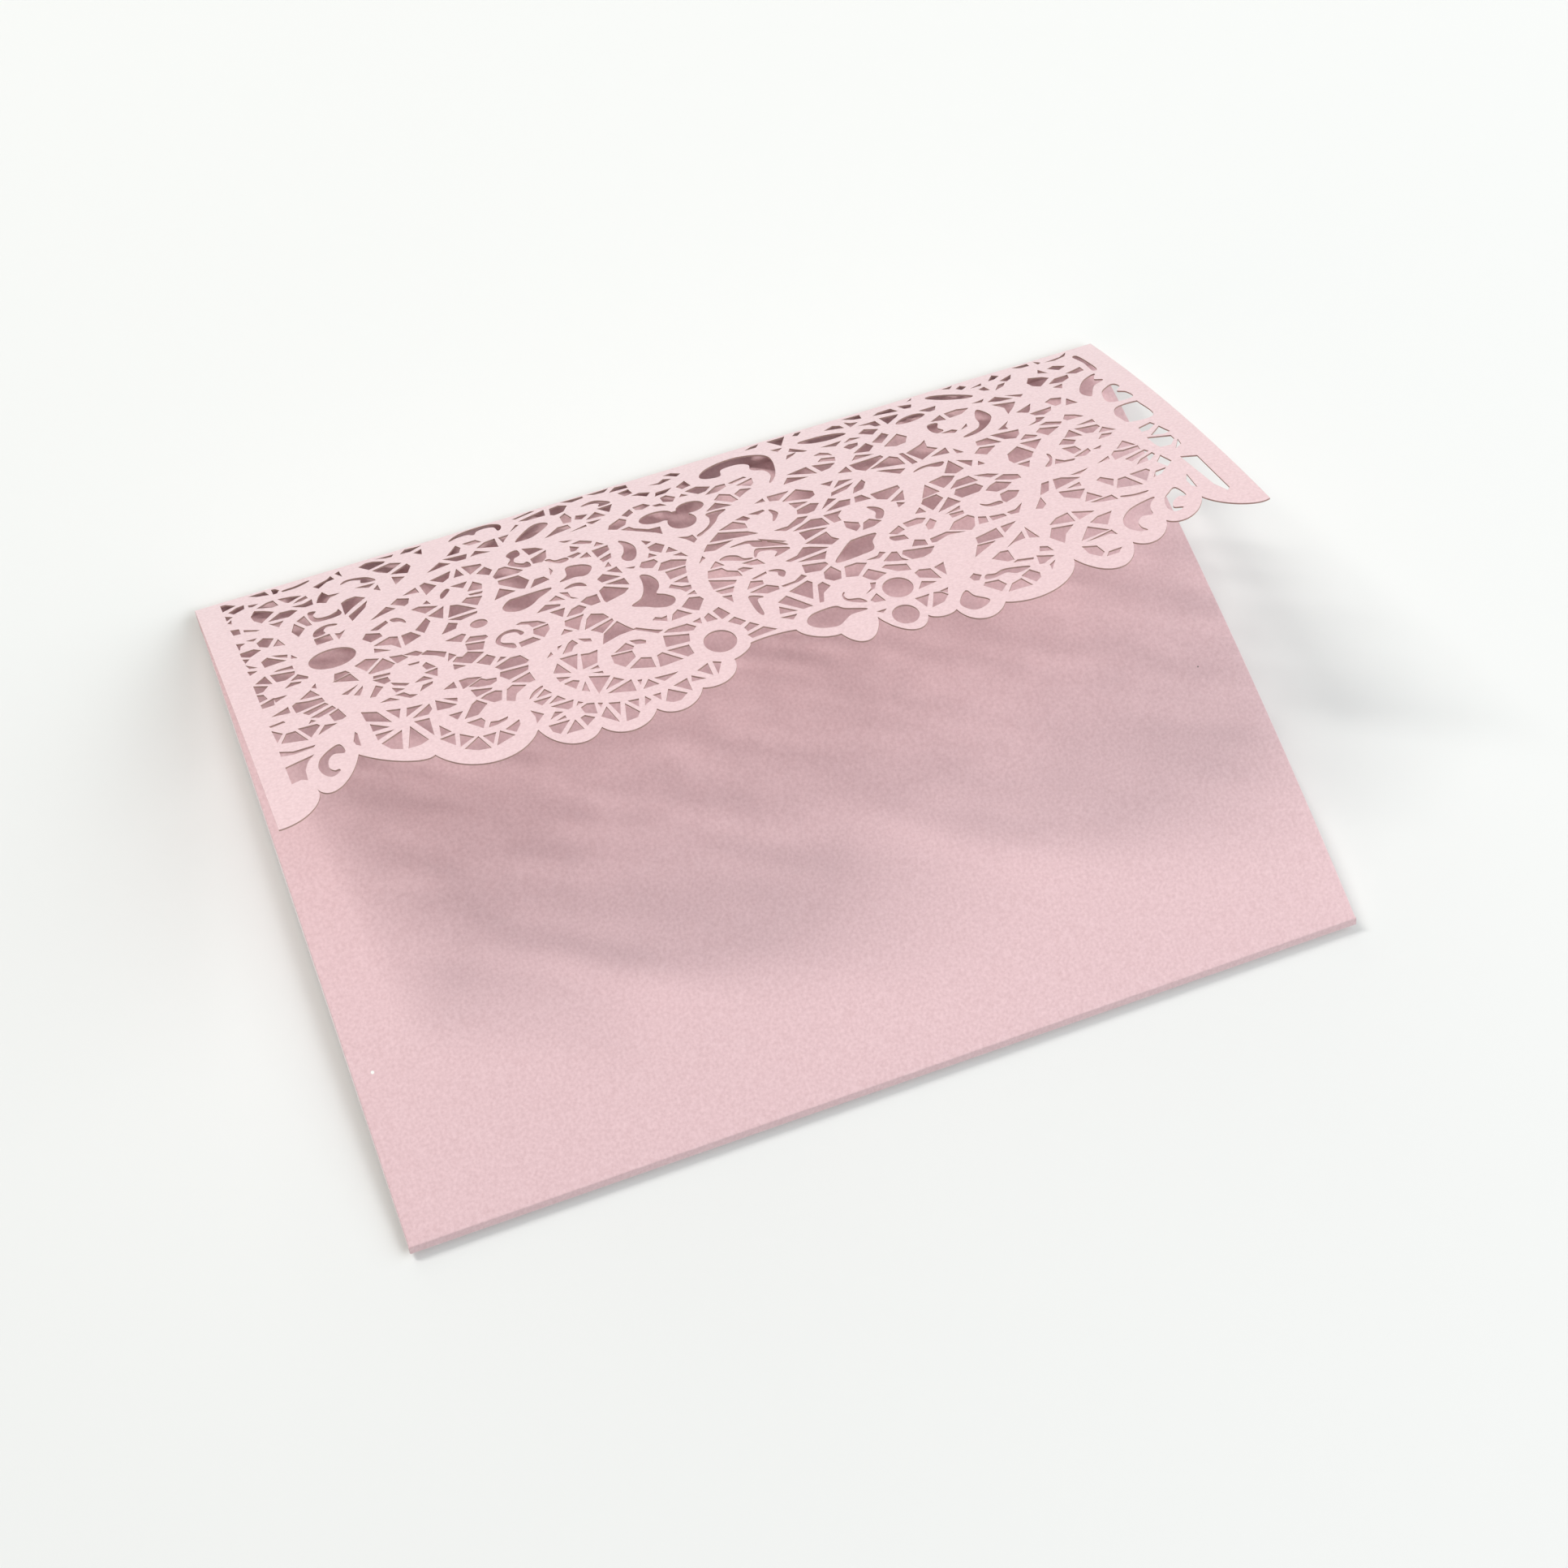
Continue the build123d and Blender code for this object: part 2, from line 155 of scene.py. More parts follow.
# Scalloped free edge, from the left corner to the right: middle and end of each curve
scallop_weight_share = 0.5
edge_start_shares = (0, 1000)
edge_curve_shares = (
    (34, 972, 45, 907),
    (66, 925, 92, 834),
    (128, 905, 156, 916),
    (203, 999, 252, 940),
    (276, 1021, 306, 996),
    (332, 1037, 360, 993),
    (384, 1021, 408, 972),
    (436, 969, 449, 910),
    (464, 894, 471, 872),
    (494, 868, 517, 876),
    (530, 920, 552, 937),
    (572, 987, 592, 920),
    (614, 998, 635, 966),
    (647, 985, 662, 977),
    (680, 1035, 707, 1003),
    (758, 1012, 792, 932),
    (824, 1008, 853, 937),
    (876, 955, 897, 898),
    (921, 910, 945, 853),
    (970, 918, 1000, 934),
)

# Cells between the bands of the lace, with straight sides
cell_shares = (
    # left border, from the fold down
    (26, 18, 30, 18, 39, 39, 26, 52),
    (56, 10, 72, 10, 75, 33, 63, 23),
    (80, 10, 83, 12, 86, 24, 83, 38, 80, 37),
    (120, 64, 136, 45, 140, 33, 142, 53, 134, 56, 124, 79),
    (146, 26, 150, 20, 151, 53),
    (171, 30, 179, 19, 186, 22, 197, 40, 195, 47, 179, 60),
    (31, 68, 40, 53, 47, 50, 46, 70, 35, 82),
    (52, 60, 61, 65, 55, 73, 52, 69),
    (26, 84, 32, 96, 26, 108),
    (26, 123, 30, 112, 29, 132),
    (59, 89, 70, 74, 76, 72, 79, 105, 73, 107),
    (82, 73, 94, 80, 104, 91, 90, 108, 87, 100),
    (94, 121, 100, 110, 108, 101, 109, 113, 103, 119),
    (50, 125, 55, 101, 64, 115, 72, 133, 57, 172, 51, 150),
    (64, 176, 78, 148, 89, 152, 94, 162, 84, 182, 73, 178),
    (91, 136, 103, 139, 112, 128, 111, 155, 103, 157),
    (125, 107, 129, 132, 141, 138, 129, 147, 124, 167, 116, 153, 120, 126),
    (157, 136, 165, 138, 177, 141, 170, 154),
    (174, 172, 179, 155, 179, 187),
    (26, 165, 33, 170, 33, 194, 27, 193),
    (38, 183, 52, 204, 49, 205, 38, 192),
    (63, 188, 67, 195, 77, 194, 71, 218),
    (81, 263, 86, 226, 93, 264, 85, 293),
    (90, 217, 98, 202, 101, 255, 97, 254),
    (138, 193, 145, 182, 153, 181, 161, 201, 146, 230, 136, 256),
    (139, 268, 162, 219, 157, 248, 140, 295),
    (26, 242, 33, 249, 28, 258, 26, 278),
    (36, 239, 46, 241, 42, 250),
    (45, 266, 52, 251, 61, 266, 53, 299, 46, 286),
    (59, 303, 65, 277, 69, 312),
    (26, 292, 39, 290, 45, 303, 33, 321, 26, 308),
    (26, 323, 31, 330, 27, 343),
    (26, 352, 29, 372, 36, 377, 39, 366, 40, 389),
    (26, 385, 34, 393, 27, 402),
    (42, 360, 48, 348, 54, 363, 64, 384, 43, 387),
    (53, 344, 67, 361, 66, 372, 59, 360),
    (70, 383, 71, 368, 75, 388),
    (98, 329, 113, 325, 114, 355, 98, 357),
    (119, 331, 123, 336, 129, 327, 120, 362),
    (156, 320, 176, 279, 183, 298),
    (152, 366, 169, 343, 170, 354, 158, 373),
    (141, 395, 146, 375, 158, 390, 159, 406, 147, 417),
    (148, 438, 165, 420, 172, 428, 171, 482, 164, 455),
    (176, 475, 177, 430, 186, 427, 193, 455),
    (147, 452, 161, 478, 146, 468),
    (49, 420, 53, 417, 67, 417, 67, 429),
    (29, 448, 39, 428, 43, 467),
    (45, 430, 67, 443, 66, 455, 56, 469, 48, 465),
    (26, 456, 38, 472, 32, 489, 26, 490),
    (61, 479, 69, 462, 77, 483, 76, 490, 68, 480),
    (53, 503, 60, 488, 69, 495, 68, 499),
    (26, 498, 31, 503, 33, 523, 26, 528),
    (123, 499, 135, 484, 146, 498, 131, 533),
    (102, 507, 112, 507, 115, 518, 99, 533),
    (97, 537, 115, 524, 120, 562),
    (132, 546, 150, 503, 158, 538, 153, 550, 133, 550),
    (157, 505, 168, 512, 172, 529, 161, 539),
    (170, 514, 182, 513, 187, 528, 182, 534),
    (26, 542, 39, 529, 37, 556, 26, 557),
    (40, 531, 52, 533, 40, 547),
    (77, 533, 81, 521, 80, 541),
    (62, 567, 74, 544, 80, 573),
    (53, 583, 57, 576, 69, 584, 81, 586, 82, 602, 54, 614),
    (31, 601, 48, 583, 48, 606),
    (60, 624, 82, 610, 84, 619, 64, 636),
    (26, 636, 39, 632, 40, 637, 27, 641),
    (65, 650, 87, 630, 89, 642, 72, 658),
    (61, 670, 64, 660, 67, 667),
    (82, 660, 91, 649, 95, 684, 91, 690, 84, 688),
    (26, 656, 34, 677, 27, 705),
    (31, 712, 38, 682, 46, 683, 54, 728),
    (50, 677, 67, 681, 69, 689, 58, 721),
    (65, 722, 74, 694, 85, 700),
    (26, 742, 37, 755, 58, 755, 56, 760, 38, 764, 26, 758),
    (26, 803, 54, 787, 46, 805, 41, 833, 40, 867, 35, 859, 26, 864),
    (97, 753, 98, 760, 97, 807, 94, 798, 93, 785),
    # wheel in the first large scallop
    (110, 689, 123, 705, 132, 757, 111, 726),
    (132, 710, 144, 720, 140, 751),
    (147, 755, 151, 725, 165, 729),
    (152, 767, 171, 735, 171, 755, 166, 770),
    (113, 743, 128, 772, 113, 770),
    (114, 786, 131, 787, 114, 806),
    (116, 823, 137, 798, 131, 862, 122, 850),
    (146, 794, 156, 858, 148, 867, 137, 867),
    (152, 782, 165, 786, 163, 850),
    (169, 859, 171, 823, 178, 855),
    (167, 870, 180, 867, 177, 906),
    (176, 766, 178, 730, 194, 766, 187, 770),
    (134, 574, 135, 565, 150, 570, 149, 576),
    (133, 580, 146, 584, 147, 602, 141, 606),
    (124, 642, 133, 605, 138, 617, 128, 645),
    (101, 597, 118, 577, 105, 604),
    (111, 614, 121, 589, 120, 600, 115, 621),
    (147, 610, 162, 634, 159, 638, 149, 623),
    (146, 632, 156, 649, 148, 652),
    (130, 674, 140, 668, 148, 685, 140, 679),
    (146, 663, 154, 663, 158, 678, 165, 685, 158, 690, 150, 670),
    (170, 559, 180, 561, 179, 566, 171, 564),
    (169, 677, 174, 658, 183, 655, 182, 662),
    # second column
    (190, 12, 208, 16, 206, 24, 200, 22),
    (216, 25, 222, 8, 239, 12, 226, 27),
    (229, 42, 237, 32, 235, 62),
    (182, 72, 201, 59, 211, 75, 194, 107, 187, 92),
    (197, 120, 216, 90, 218, 107, 212, 138, 206, 130),
    (196, 137, 207, 154, 196, 180),
    (257, 113, 270, 72, 273, 90, 269, 114),
    (278, 72, 291, 72, 295, 90, 283, 90),
    (251, 125, 275, 134, 272, 156, 263, 155),
    (230, 170, 246, 137, 255, 158),
    (289, 118, 298, 100, 309, 96, 308, 144),
    (314, 98, 324, 97, 315, 130),
    (278, 153, 285, 132, 298, 158, 286, 151),
    (327, 86, 337, 56, 339, 60),
    (342, 40, 371, 18, 369, 50, 350, 48),
    (338, 18, 359, 4, 362, 8, 340, 22),
    (197, 247, 211, 229, 212, 254),
    (182, 273, 190, 255, 200, 270, 197, 292, 193, 298),
    (217, 224, 222, 217, 231, 247, 218, 278),
    (229, 214, 251, 197, 246, 228, 239, 240),
    (252, 234, 258, 195, 261, 236),
    (264, 194, 282, 206, 282, 215, 268, 242),
    (274, 250, 284, 229, 289, 253, 284, 272),
    (244, 273, 260, 273, 254, 297),
    (257, 320, 266, 283, 272, 305, 270, 327),
    (256, 336, 269, 341, 267, 348, 257, 343),
    (246, 364, 252, 350, 266, 362, 258, 395),
    (227, 412, 234, 363, 240, 368, 255, 409),
    (210, 380, 227, 356, 221, 408),
    (198, 328, 205, 324, 222, 346, 208, 362),
    (211, 317, 215, 308, 217, 325),
    (192, 424, 206, 386, 208, 405, 198, 446),
    (225, 423, 254, 424, 253, 430, 236, 440),
    (213, 477, 224, 438, 231, 450, 227, 470),
    (287, 289, 296, 258, 302, 257, 316, 298, 311, 305, 288, 302),
    (288, 333, 289, 316, 309, 318, 316, 355, 308, 386, 304, 380),
    (276, 398, 286, 355, 298, 384),
    (314, 392, 322, 360, 331, 360, 334, 379),
    (328, 194, 340, 208, 346, 225, 331, 234),
    (330, 283, 330, 258, 348, 236, 344, 272, 338, 287),
    (323, 476, 331, 462, 337, 488),
    (306, 510, 317, 488, 330, 503, 329, 509),
    (336, 452, 343, 462, 343, 485, 350, 502, 344, 493),
    (338, 362, 341, 325, 342, 345),
    (186, 535, 192, 526, 208, 555, 204, 573, 199, 557),
    (206, 594, 210, 565, 215, 580),
    (213, 510, 230, 501, 233, 508, 226, 532),
    (230, 540, 236, 524, 250, 536, 251, 544, 247, 550),
    (228, 575, 229, 549, 246, 560, 241, 588),
    (210, 603, 215, 590, 220, 596, 227, 582, 240, 601, 225, 630),
    (208, 634, 209, 615, 219, 633),
    (230, 636, 242, 616, 248, 634, 240, 658),
    (247, 658, 253, 642, 257, 648),
    (244, 675, 261, 656, 270, 658, 275, 685, 272, 693, 248, 690),
    (244, 713, 246, 700, 272, 705, 270, 720, 250, 735),
    (251, 748, 270, 733, 271, 766, 266, 767),
    (213, 716, 226, 700, 230, 710, 239, 715, 238, 726, 232, 733, 220, 727),
    (207, 717, 207, 683, 215, 683, 227, 694),
    (190, 698, 201, 682, 201, 705),
    (213, 732, 231, 747, 229, 752, 215, 761),
    (218, 772, 224, 764, 233, 761, 238, 768, 234, 800, 227, 799),
    (239, 808, 244, 769, 250, 760, 261, 774, 249, 795, 245, 818),
    (196, 826, 208, 783, 213, 775, 220, 797, 208, 826),
    (184, 797, 196, 798, 189, 819),
    (185, 730, 197, 744, 196, 755, 192, 746),
    (196, 843, 209, 842, 211, 855, 207, 876),
    (213, 880, 216, 866, 223, 870, 232, 865, 230, 873, 220, 880),
    (181, 915, 185, 875, 195, 897),
    (184, 928, 199, 902, 205, 950, 194, 945),
    (204, 905, 215, 906, 209, 939),
    (212, 949, 220, 906, 230, 933),
    (226, 905, 240, 888, 239, 903, 233, 923),
    (168, 638, 178, 625, 185, 643),
    (184, 601, 182, 582, 186, 573, 192, 600),
    (181, 612, 193, 608, 190, 638),
    (282, 532, 287, 528, 302, 543, 308, 560, 295, 561, 293, 545),
    (293, 590, 295, 572, 309, 568, 308, 590, 300, 614),
    (276, 608, 290, 603, 295, 620, 276, 626),
    (292, 700, 298, 683, 298, 693),
    (305, 682, 307, 670, 311, 668),
    (308, 702, 318, 668, 322, 662, 325, 680, 320, 686, 316, 702),
    (328, 663, 338, 677, 338, 687, 332, 680),
    (303, 718, 319, 720, 312, 775),
    (291, 763, 298, 733, 305, 780),
    (323, 726, 330, 731, 338, 728, 332, 773, 318, 780),
    (291, 783, 303, 795, 292, 800),
    (323, 789, 331, 785, 331, 794),
    (323, 804, 332, 810, 332, 816),
    (295, 814, 303, 810, 308, 818, 302, 841),
    (307, 855, 313, 828, 312, 865),
    (319, 815, 336, 834, 319, 884),
    (327, 877, 339, 845, 346, 862),
    (327, 892, 352, 871, 351, 912),
    (265, 832, 275, 811, 279, 829),
    (261, 842, 278, 842, 266, 862),
    (273, 865, 283, 848, 288, 866),
    (254, 869, 263, 894, 254, 918, 256, 895),
    (273, 877, 294, 878, 290, 900, 286, 903),
    (267, 920, 274, 900, 280, 907),
    (271, 930, 280, 923, 280, 930),
    (263, 940, 282, 941, 269, 975, 264, 962),
    (275, 982, 287, 947, 290, 983),
    (293, 946, 297, 942, 304, 958, 295, 976),
    (298, 912, 304, 905, 310, 910, 308, 946, 299, 933),
    (295, 900, 298, 890, 301, 896),
    (311, 962, 319, 936, 323, 997),
    (323, 926, 332, 934, 327, 977),
    (330, 1002, 336, 945, 344, 985, 340, 1000),
    (340, 939, 349, 943, 346, 967),
    (314, 915, 317, 919, 314, 932),
    (316, 628, 321, 611, 327, 626),
    (324, 597, 326, 578, 345, 573, 339, 597, 333, 629),
    (318, 524, 332, 524, 326, 557),
    (330, 563, 338, 538, 346, 531, 351, 547, 344, 563),
    # third column
    (375, 58, 378, 22, 387, 17, 395, 32, 388, 59, 378, 65),
    (392, 4, 415, 6, 415, 14, 402, 20),
    (421, 6, 444, 4, 438, 18, 428, 15),
    (443, 30, 451, 10, 462, 15, 462, 32),
    (450, 50, 461, 45, 462, 72, 454, 76),
    (381, 126, 382, 85, 388, 73, 391, 105, 388, 129),
    (394, 123, 397, 105, 407, 115, 400, 130),
    (404, 142, 416, 116, 423, 148),
    (421, 102, 436, 100, 429, 136),
    (402, 158, 417, 162, 406, 173),
    (355, 174, 373, 138, 383, 140, 384, 160),
    (380, 182, 399, 169, 399, 176),
    (438, 177, 448, 157, 449, 178, 442, 190),
    (453, 152, 464, 149, 469, 166, 460, 176, 454, 168),
    (472, 173, 479, 174, 484, 192, 474, 182),
    (484, 145, 490, 140, 497, 162, 492, 182, 484, 170),
    (481, 127, 484, 110, 501, 107, 492, 125),
    (460, 86, 468, 83, 478, 97, 473, 112, 466, 94),
    (482, 57, 493, 60, 500, 47, 507, 57, 494, 68),
    (503, 27, 511, 25, 519, 42, 514, 51, 510, 40),
    (417, 227, 420, 210, 433, 190, 438, 205, 434, 228, 424, 240),
    (428, 249, 436, 245, 439, 260, 452, 287, 463, 290, 461, 327, 456, 310, 440, 275),
    (438, 329, 445, 348, 440, 354),
    (440, 370, 449, 362, 455, 382, 448, 410, 440, 388),
    (434, 417, 437, 400, 442, 418),
    (453, 417, 458, 398, 463, 425),
    (457, 440, 465, 439, 469, 464),
    (421, 448, 425, 430, 437, 432, 439, 447, 431, 467, 423, 456),
    (435, 487, 442, 458, 452, 457, 465, 476, 461, 495, 437, 490),
    (440, 503, 460, 503, 457, 532, 440, 538),
    (472, 365, 481, 377, 486, 375, 487, 400, 483, 411, 479, 387),
    (497, 432, 510, 402, 536, 435, 544, 457, 530, 450),
    (486, 466, 493, 441, 502, 448, 518, 453, 496, 474),
    (474, 510, 481, 484, 482, 495),
    (365, 213, 378, 225, 370, 227),
    (375, 243, 384, 240, 394, 260, 392, 268, 384, 257),
    (370, 280, 372, 254, 379, 270, 374, 282),
    (394, 288, 398, 273, 403, 290),
    (364, 300, 375, 295, 377, 302, 368, 313),
    (374, 323, 383, 308, 384, 332),
    (389, 307, 405, 303, 404, 326, 390, 344),
    (391, 358, 403, 345, 401, 365, 392, 374),
    (391, 400, 396, 382, 396, 403),
    (390, 422, 400, 415, 402, 448),
    (407, 432, 416, 438, 414, 444),
    (377, 445, 384, 430, 398, 462, 379, 463),
    (381, 476, 400, 475, 401, 506),
    (371, 545, 372, 497, 378, 485, 398, 522, 392, 537, 372, 552),
    (350, 520, 357, 508, 367, 508, 366, 544, 357, 546),
    (339, 636, 346, 597, 352, 582, 362, 595, 365, 615),
    (344, 646, 367, 626, 367, 635, 352, 668),
    (347, 712, 353, 675, 370, 643, 375, 670, 380, 693, 365, 696),
    (380, 692, 383, 690, 398, 720, 404, 728, 399, 734, 393, 720),
    (434, 572, 437, 563, 445, 583, 453, 588, 452, 602, 446, 608, 443, 593),
    (441, 555, 455, 548, 453, 573),
    (446, 622, 453, 615, 453, 629),
    (434, 664, 445, 637, 454, 645, 456, 658, 446, 695, 442, 688),
    (402, 680, 405, 673, 410, 682, 415, 680, 413, 698),
    (418, 703, 422, 682, 428, 670, 438, 700),
    (405, 740, 410, 733, 428, 734, 434, 753, 430, 763, 418, 754),
    (435, 733, 442, 728, 441, 748),
    (447, 730, 452, 720, 456, 750, 447, 748),
    (458, 717, 464, 709, 470, 744, 461, 755),
    (465, 773, 472, 763, 479, 789, 473, 797),
    (475, 813, 482, 800, 488, 817, 476, 827),
    (474, 842, 491, 830, 501, 852, 476, 856),
    (402, 753, 424, 773, 421, 799, 399, 794),
    (398, 808, 418, 812, 418, 846, 412, 850),
    (387, 815, 392, 810, 406, 854, 384, 857),
    (358, 830, 372, 805, 380, 815, 379, 852),
    (347, 795, 348, 765, 367, 770, 367, 795, 354, 819),
    (352, 758, 366, 736, 371, 755, 369, 763),
    (371, 731, 380, 738, 384, 748, 383, 756, 375, 750),
    (359, 914, 367, 889, 373, 913),
    (373, 889, 385, 893, 396, 893, 380, 909),
    (358, 880, 361, 882, 358, 897),
    (352, 970, 356, 942, 359, 958),
    (364, 946, 370, 946, 368, 969),
    (372, 978, 379, 943, 392, 973, 384, 989, 377, 988),
    (386, 936, 399, 926, 398, 969),
    (403, 940, 405, 922, 415, 944),
    (413, 910, 424, 897, 423, 940),
    (430, 897, 436, 906, 428, 944),
    (471, 634, 472, 593, 495, 625, 492, 635),
    (473, 583, 477, 555, 490, 558, 493, 575, 502, 590, 503, 613),
    (481, 546, 489, 524, 494, 548),
    (472, 644, 489, 647, 485, 666, 475, 661),
    (474, 672, 482, 678, 480, 705),
    # fourth column
    (540, 481, 563, 527, 560, 526, 542, 490),
    (511, 564, 526, 566, 530, 593, 518, 582),
    (504, 583, 509, 582, 517, 597, 506, 600),
    (510, 639, 525, 628, 525, 634, 512, 643),
    (500, 674, 507, 648, 517, 658, 516, 672),
    (500, 690, 518, 680, 527, 698, 526, 710, 514, 712),
    (531, 702, 545, 699, 554, 683, 557, 693, 548, 704, 532, 707),
    (518, 760, 528, 745, 544, 809, 535, 810),
    (534, 732, 555, 712, 558, 723, 549, 785),
    (553, 806, 562, 740, 567, 735, 571, 757, 561, 775, 556, 807),
    (513, 802, 516, 778, 529, 810),
    (511, 817, 526, 822, 520, 836),
    (596, 828, 605, 813, 607, 794, 611, 797, 607, 815),
    (597, 855, 605, 838, 608, 870, 599, 866),
    (595, 901, 604, 901, 599, 910),
    (572, 725, 575, 700, 584, 686, 589, 715, 585, 742, 578, 742),
    (591, 743, 596, 703, 608, 702, 616, 714, 601, 752),
    (618, 703, 631, 700, 635, 688, 639, 695, 630, 710),
    (633, 727, 645, 703, 649, 707, 649, 735, 654, 752, 640, 737),
    (605, 760, 614, 740, 626, 774, 613, 788, 609, 778),
    (627, 750, 631, 744, 649, 764, 649, 789, 638, 780),
    (653, 722, 656, 711, 684, 730, 677, 750, 668, 757, 658, 752),
    (667, 704, 673, 683, 681, 694, 680, 715),
    (653, 650, 654, 642, 667, 650, 668, 669, 656, 662),
    (656, 628, 669, 608, 671, 629, 662, 638),
    (675, 603, 690, 599, 697, 609, 691, 623, 676, 622),
    (693, 638, 701, 618, 704, 634, 696, 659, 692, 658),
    (686, 713, 687, 697, 705, 690, 722, 710, 704, 702, 690, 715),
    (651, 807, 656, 800, 666, 808, 669, 853, 652, 828),
    (671, 808, 681, 800, 676, 847),
    (644, 868, 651, 845, 663, 860),
    (635, 898, 648, 897, 639, 937),
    (644, 945, 654, 897, 660, 902, 664, 918, 656, 938),
    (661, 898, 668, 895, 665, 910),
    (550, 610, 563, 602, 573, 577, 579, 582, 595, 606, 553, 617),
    (559, 628, 590, 620, 584, 647),
    (559, 680, 561, 647, 582, 662, 583, 672, 573, 688),
    (576, 495, 599, 468, 609, 476, 611, 511),
    (580, 510, 592, 512, 607, 523, 581, 546),
    (578, 563, 603, 541, 604, 568, 609, 585, 600, 598),
    (613, 468, 631, 469, 624, 488, 624, 510, 617, 511),
    (624, 548, 626, 520, 637, 542, 636, 560, 630, 574),
    (637, 578, 642, 550, 649, 542, 658, 563, 648, 576),
    (595, 22, 603, 12, 612, 8, 607, 22),
    (622, 10, 641, 9, 631, 55),
    (650, 20, 654, 9, 660, 9, 654, 25),
    (618, 65, 629, 70, 623, 83),
    (636, 89, 649, 127, 645, 126, 633, 103),
    (624, 140, 628, 122, 638, 117, 632, 130),
    (664, 132, 687, 129, 678, 148),
    (506, 112, 517, 92, 519, 125, 510, 130),
    (511, 150, 523, 142, 535, 163, 528, 180, 520, 182),
    (502, 170, 505, 159, 510, 173),
    (526, 199, 541, 170, 550, 172, 549, 188, 538, 202),
    (555, 175, 572, 165, 574, 172, 557, 183),
    (560, 199, 578, 184, 576, 210, 572, 222),
    (552, 240, 560, 225, 570, 235, 560, 250, 554, 262),
    (530, 240, 538, 218, 547, 235, 550, 273, 544, 275),
    (515, 284, 528, 256, 541, 289),
    (651, 166, 658, 160, 665, 175, 667, 190),
    (650, 203, 655, 192, 667, 205, 665, 223),
    (641, 215, 662, 235, 654, 253, 645, 257),
    (612, 223, 634, 213, 639, 260),
    (602, 266, 610, 240, 629, 265),
    (658, 292, 669, 273, 670, 304),
    (562, 317, 572, 305, 572, 320),
    (577, 326, 578, 302, 600, 305, 585, 335),
    (588, 347, 608, 309, 621, 340, 620, 360, 613, 370),
    (592, 366, 609, 382, 594, 395),
    (592, 425, 594, 408, 610, 395, 617, 405, 608, 432, 600, 435),
    (616, 437, 629, 399, 635, 409),
    (618, 453, 637, 424, 647, 430, 643, 453),
    (650, 452, 653, 428, 660, 427, 665, 455),
    (669, 437, 698, 433, 698, 447, 679, 480, 671, 467),
    (681, 495, 699, 462, 693, 504),
    (683, 530, 685, 508, 691, 518),
    (634, 320, 646, 321, 640, 340),
    (642, 357, 652, 330, 665, 340),
    (634, 390, 637, 375, 655, 363, 663, 357, 652, 379),
    (655, 408, 660, 385, 672, 358, 673, 373, 666, 400),
    (513, 392, 530, 372, 539, 396, 538, 418),
    (534, 367, 543, 360, 547, 378, 543, 384),
    (549, 358, 564, 358, 565, 364, 557, 373),
    (560, 467, 575, 467, 589, 442, 598, 448, 589, 467, 570, 483),
    # fifth column
    (682, 44, 693, 32, 699, 42, 701, 61),
    (707, 10, 726, 13, 725, 35, 718, 30),
    (706, 30, 711, 47, 718, 52, 708, 68),
    (738, 43, 745, 33, 759, 32, 763, 57),
    (768, 30, 781, 42, 778, 58, 772, 55),
    (780, 20, 788, 5, 785, 16),
    (741, 68, 760, 76, 756, 88, 743, 112),
    (715, 75, 734, 76, 735, 107, 730, 105, 727, 87),
    (709, 120, 717, 105, 729, 125, 720, 145),
    (782, 92, 800, 93, 796, 113, 790, 113),
    (823, 8, 835, 5, 830, 18),
    (688, 146, 697, 130, 707, 142),
    (684, 170, 690, 162, 699, 166, 697, 180, 688, 188),
    (713, 188, 729, 154, 733, 172, 720, 205),
    (720, 228, 741, 183, 747, 210, 741, 238, 730, 243),
    (688, 215, 706, 183, 710, 207, 702, 228),
    (680, 250, 687, 230, 704, 250),
    (674, 270, 708, 267, 709, 278, 683, 320, 676, 300),
    (689, 320, 715, 286, 721, 302, 722, 343),
    (692, 338, 700, 345, 718, 366, 710, 382),
    (726, 288, 729, 289, 734, 353, 729, 355),
    (733, 295, 752, 273, 759, 257, 755, 293, 763, 315, 741, 348),
    (751, 348, 770, 326, 769, 355),
    (776, 340, 782, 372, 776, 368),
    (780, 248, 792, 246, 796, 256, 792, 265),
    (800, 260, 810, 237, 808, 252),
    (782, 172, 795, 152, 796, 183),
    (801, 150, 815, 147, 826, 158, 815, 178, 802, 180),
    (834, 140, 848, 135, 844, 148),
    (749, 443, 762, 390, 768, 447, 758, 458),
    (769, 400, 782, 423, 777, 447),
    (784, 452, 787, 435, 790, 453),
    (728, 463, 744, 453, 754, 468, 748, 485, 736, 505),
    (710, 523, 722, 469, 729, 515),
    (741, 520, 753, 492, 766, 488, 770, 518),
    (771, 492, 784, 503, 793, 518, 784, 522),
    (740, 550, 745, 530, 766, 530, 770, 550, 763, 566, 744, 570),
    (770, 572, 777, 557, 785, 549, 797, 570, 788, 587, 778, 590),
    (786, 538, 797, 527, 809, 545, 809, 562, 802, 561),
    (705, 545, 710, 529, 724, 525, 727, 548, 710, 585),
    (713, 602, 732, 554, 739, 585),
    (693, 578, 700, 559, 702, 583),
    (717, 618, 735, 602, 733, 615),
    (721, 640, 721, 623, 734, 626, 733, 637),
    (776, 635, 779, 606, 788, 600, 797, 613, 790, 633, 778, 644),
    (710, 685, 719, 660, 735, 649, 739, 663, 733, 700, 728, 710),
    (739, 698, 743, 670, 749, 677, 747, 700),
    (753, 682, 766, 688, 767, 698, 753, 700),
    (771, 687, 780, 685, 790, 666, 780, 700, 773, 698),
    (798, 707, 810, 668, 809, 700, 803, 713),
    (724, 770, 726, 748, 749, 735, 749, 774),
    (754, 760, 755, 734, 771, 730),
    (712, 817, 722, 777, 740, 780),
    (744, 820, 768, 777, 766, 803, 753, 807),
    (771, 807, 774, 762, 779, 816),
